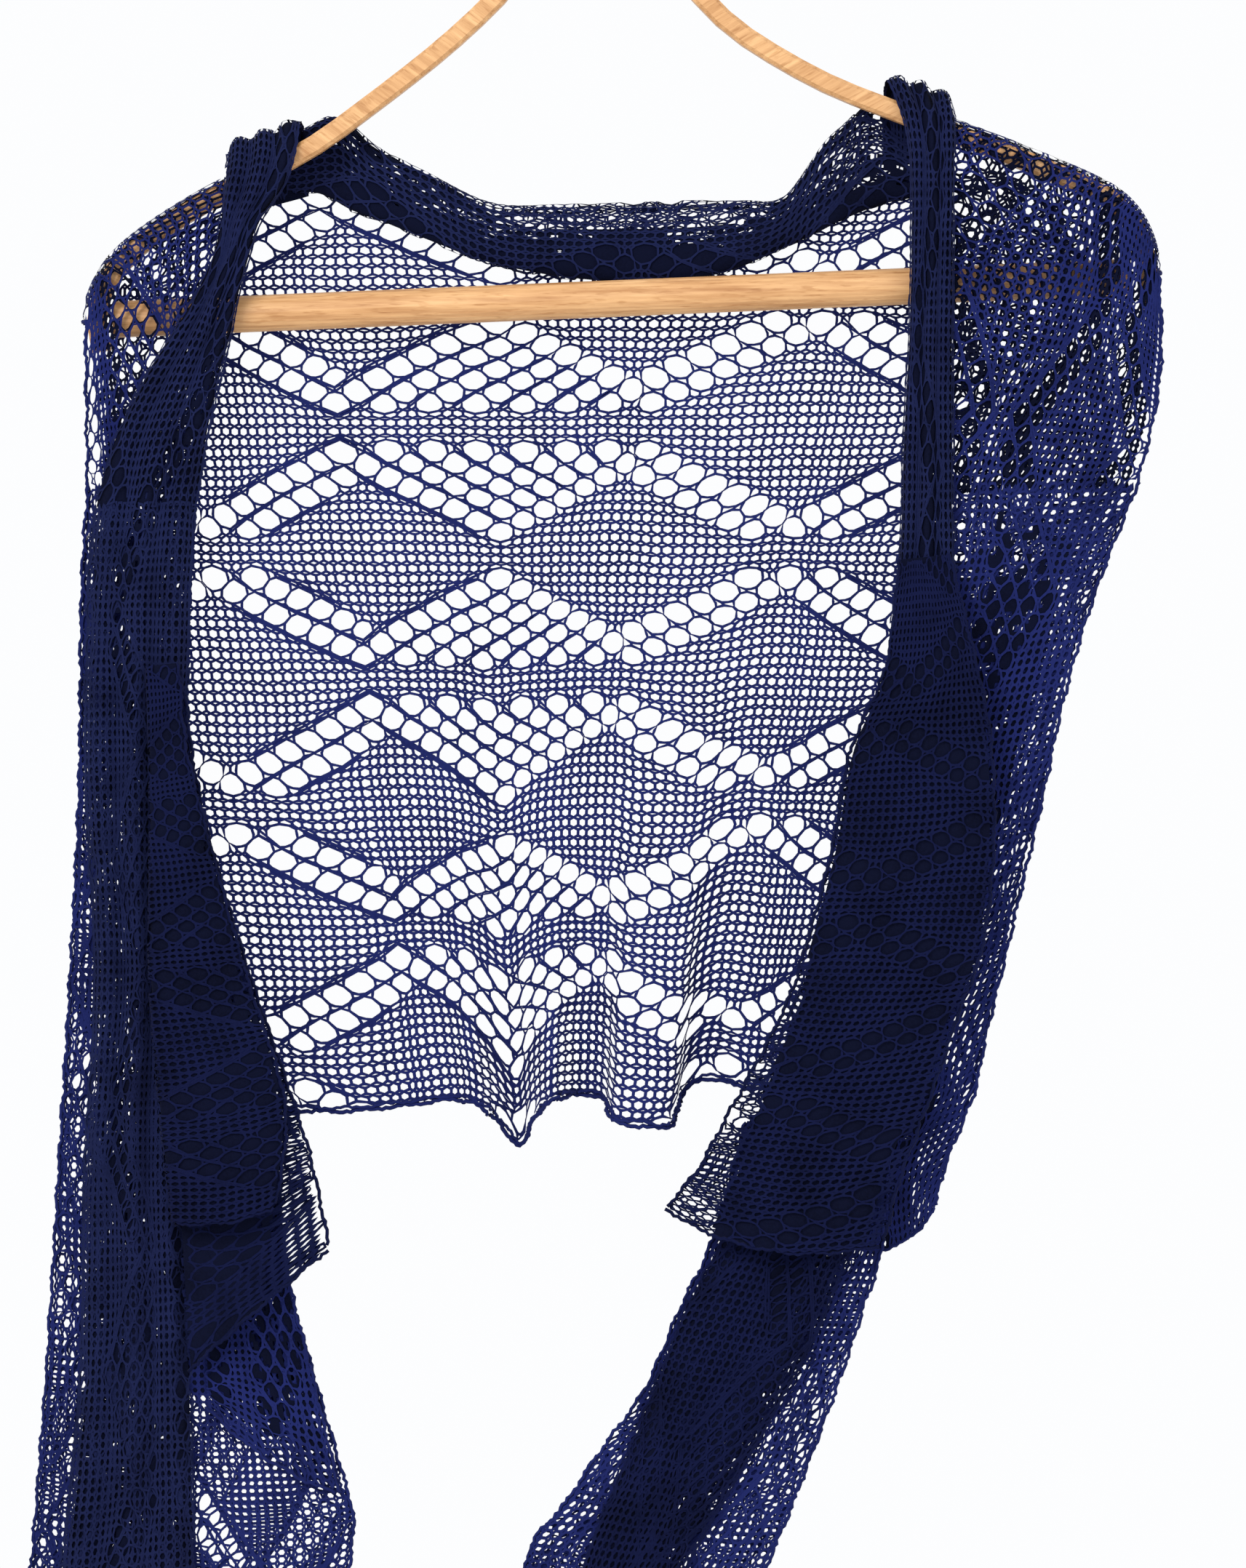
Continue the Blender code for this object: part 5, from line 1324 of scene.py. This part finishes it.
def area_light(name, place, aim, size, power, color):
    lamp = bpy.data.lights.new(name, "AREA")
    lamp.shape = "DISK"
    lamp.size = size
    lamp.energy = power
    lamp.color = color
    item = bpy.data.objects.new(name, lamp)
    item.location = place
    item.rotation_mode = "QUATERNION"
    item.rotation_quaternion = (Vector(aim) - Vector(place)).to_track_quat("-Z", "Y")
    bpy.context.scene.collection.objects.link(item)


def build_studio():
    world_node = bpy.data.worlds.new("studio")
    world_node.use_nodes = True
    background = world_node.node_tree.nodes["Background"]
    background.inputs["Color"].default_value = (0.95, 0.955, 0.965, 1.0)
    background.inputs["Strength"].default_value = 1.03
    bpy.context.scene.world = world_node
    area_light("key", (-1.2, -2.2, 0.9), (0.0, 0.0, -0.4), 1.4, 55.0, (1.0, 0.98, 0.95))
    area_light("fill", (1.8, -1.6, -0.1), (0.0, 0.0, -0.5), 1.6, 14.0, (0.95, 0.97, 1.0))

    mesh = bpy.data.meshes.new("floor")
    corners = [(1.6 * math.cos(math.pi * k / 32), 1.6 * math.sin(math.pi * k / 32), -1.2) for k in range(64)]
    mesh.from_pydata(corners, [], [tuple(range(64))])
    floor = bpy.data.objects.new("floor", mesh)
    bpy.context.scene.collection.objects.link(floor)
    material = bpy.data.materials.new("pale_floor")
    material.use_nodes = True
    shader = material.node_tree.nodes["Principled BSDF"]
    shader.inputs["Base Color"].default_value = (0.80, 0.79, 0.77, 1.0)
    shader.inputs["Roughness"].default_value = 0.9
    mesh.materials.append(material)

    camera = bpy.data.cameras.new("camera")
    distance = 4.5
    camera.sensor_width = 36.0
    camera.lens = 36.0 * distance / 0.640
    eye = bpy.data.objects.new("camera", camera)
    eye.location = (0.0123, -distance, -0.470)
    eye.rotation_euler = (math.pi / 2, 0.0, 0.0)
    bpy.context.scene.collection.objects.link(eye)
    bpy.context.scene.camera = eye
    bpy.context.scene.view_settings.view_transform = "Standard"


dress_hanger()
build_back()
build_collar()
build_shoulders()
for number, spec in enumerate(STRETCHES):
    build_stretch(spec, number)
build_studio()
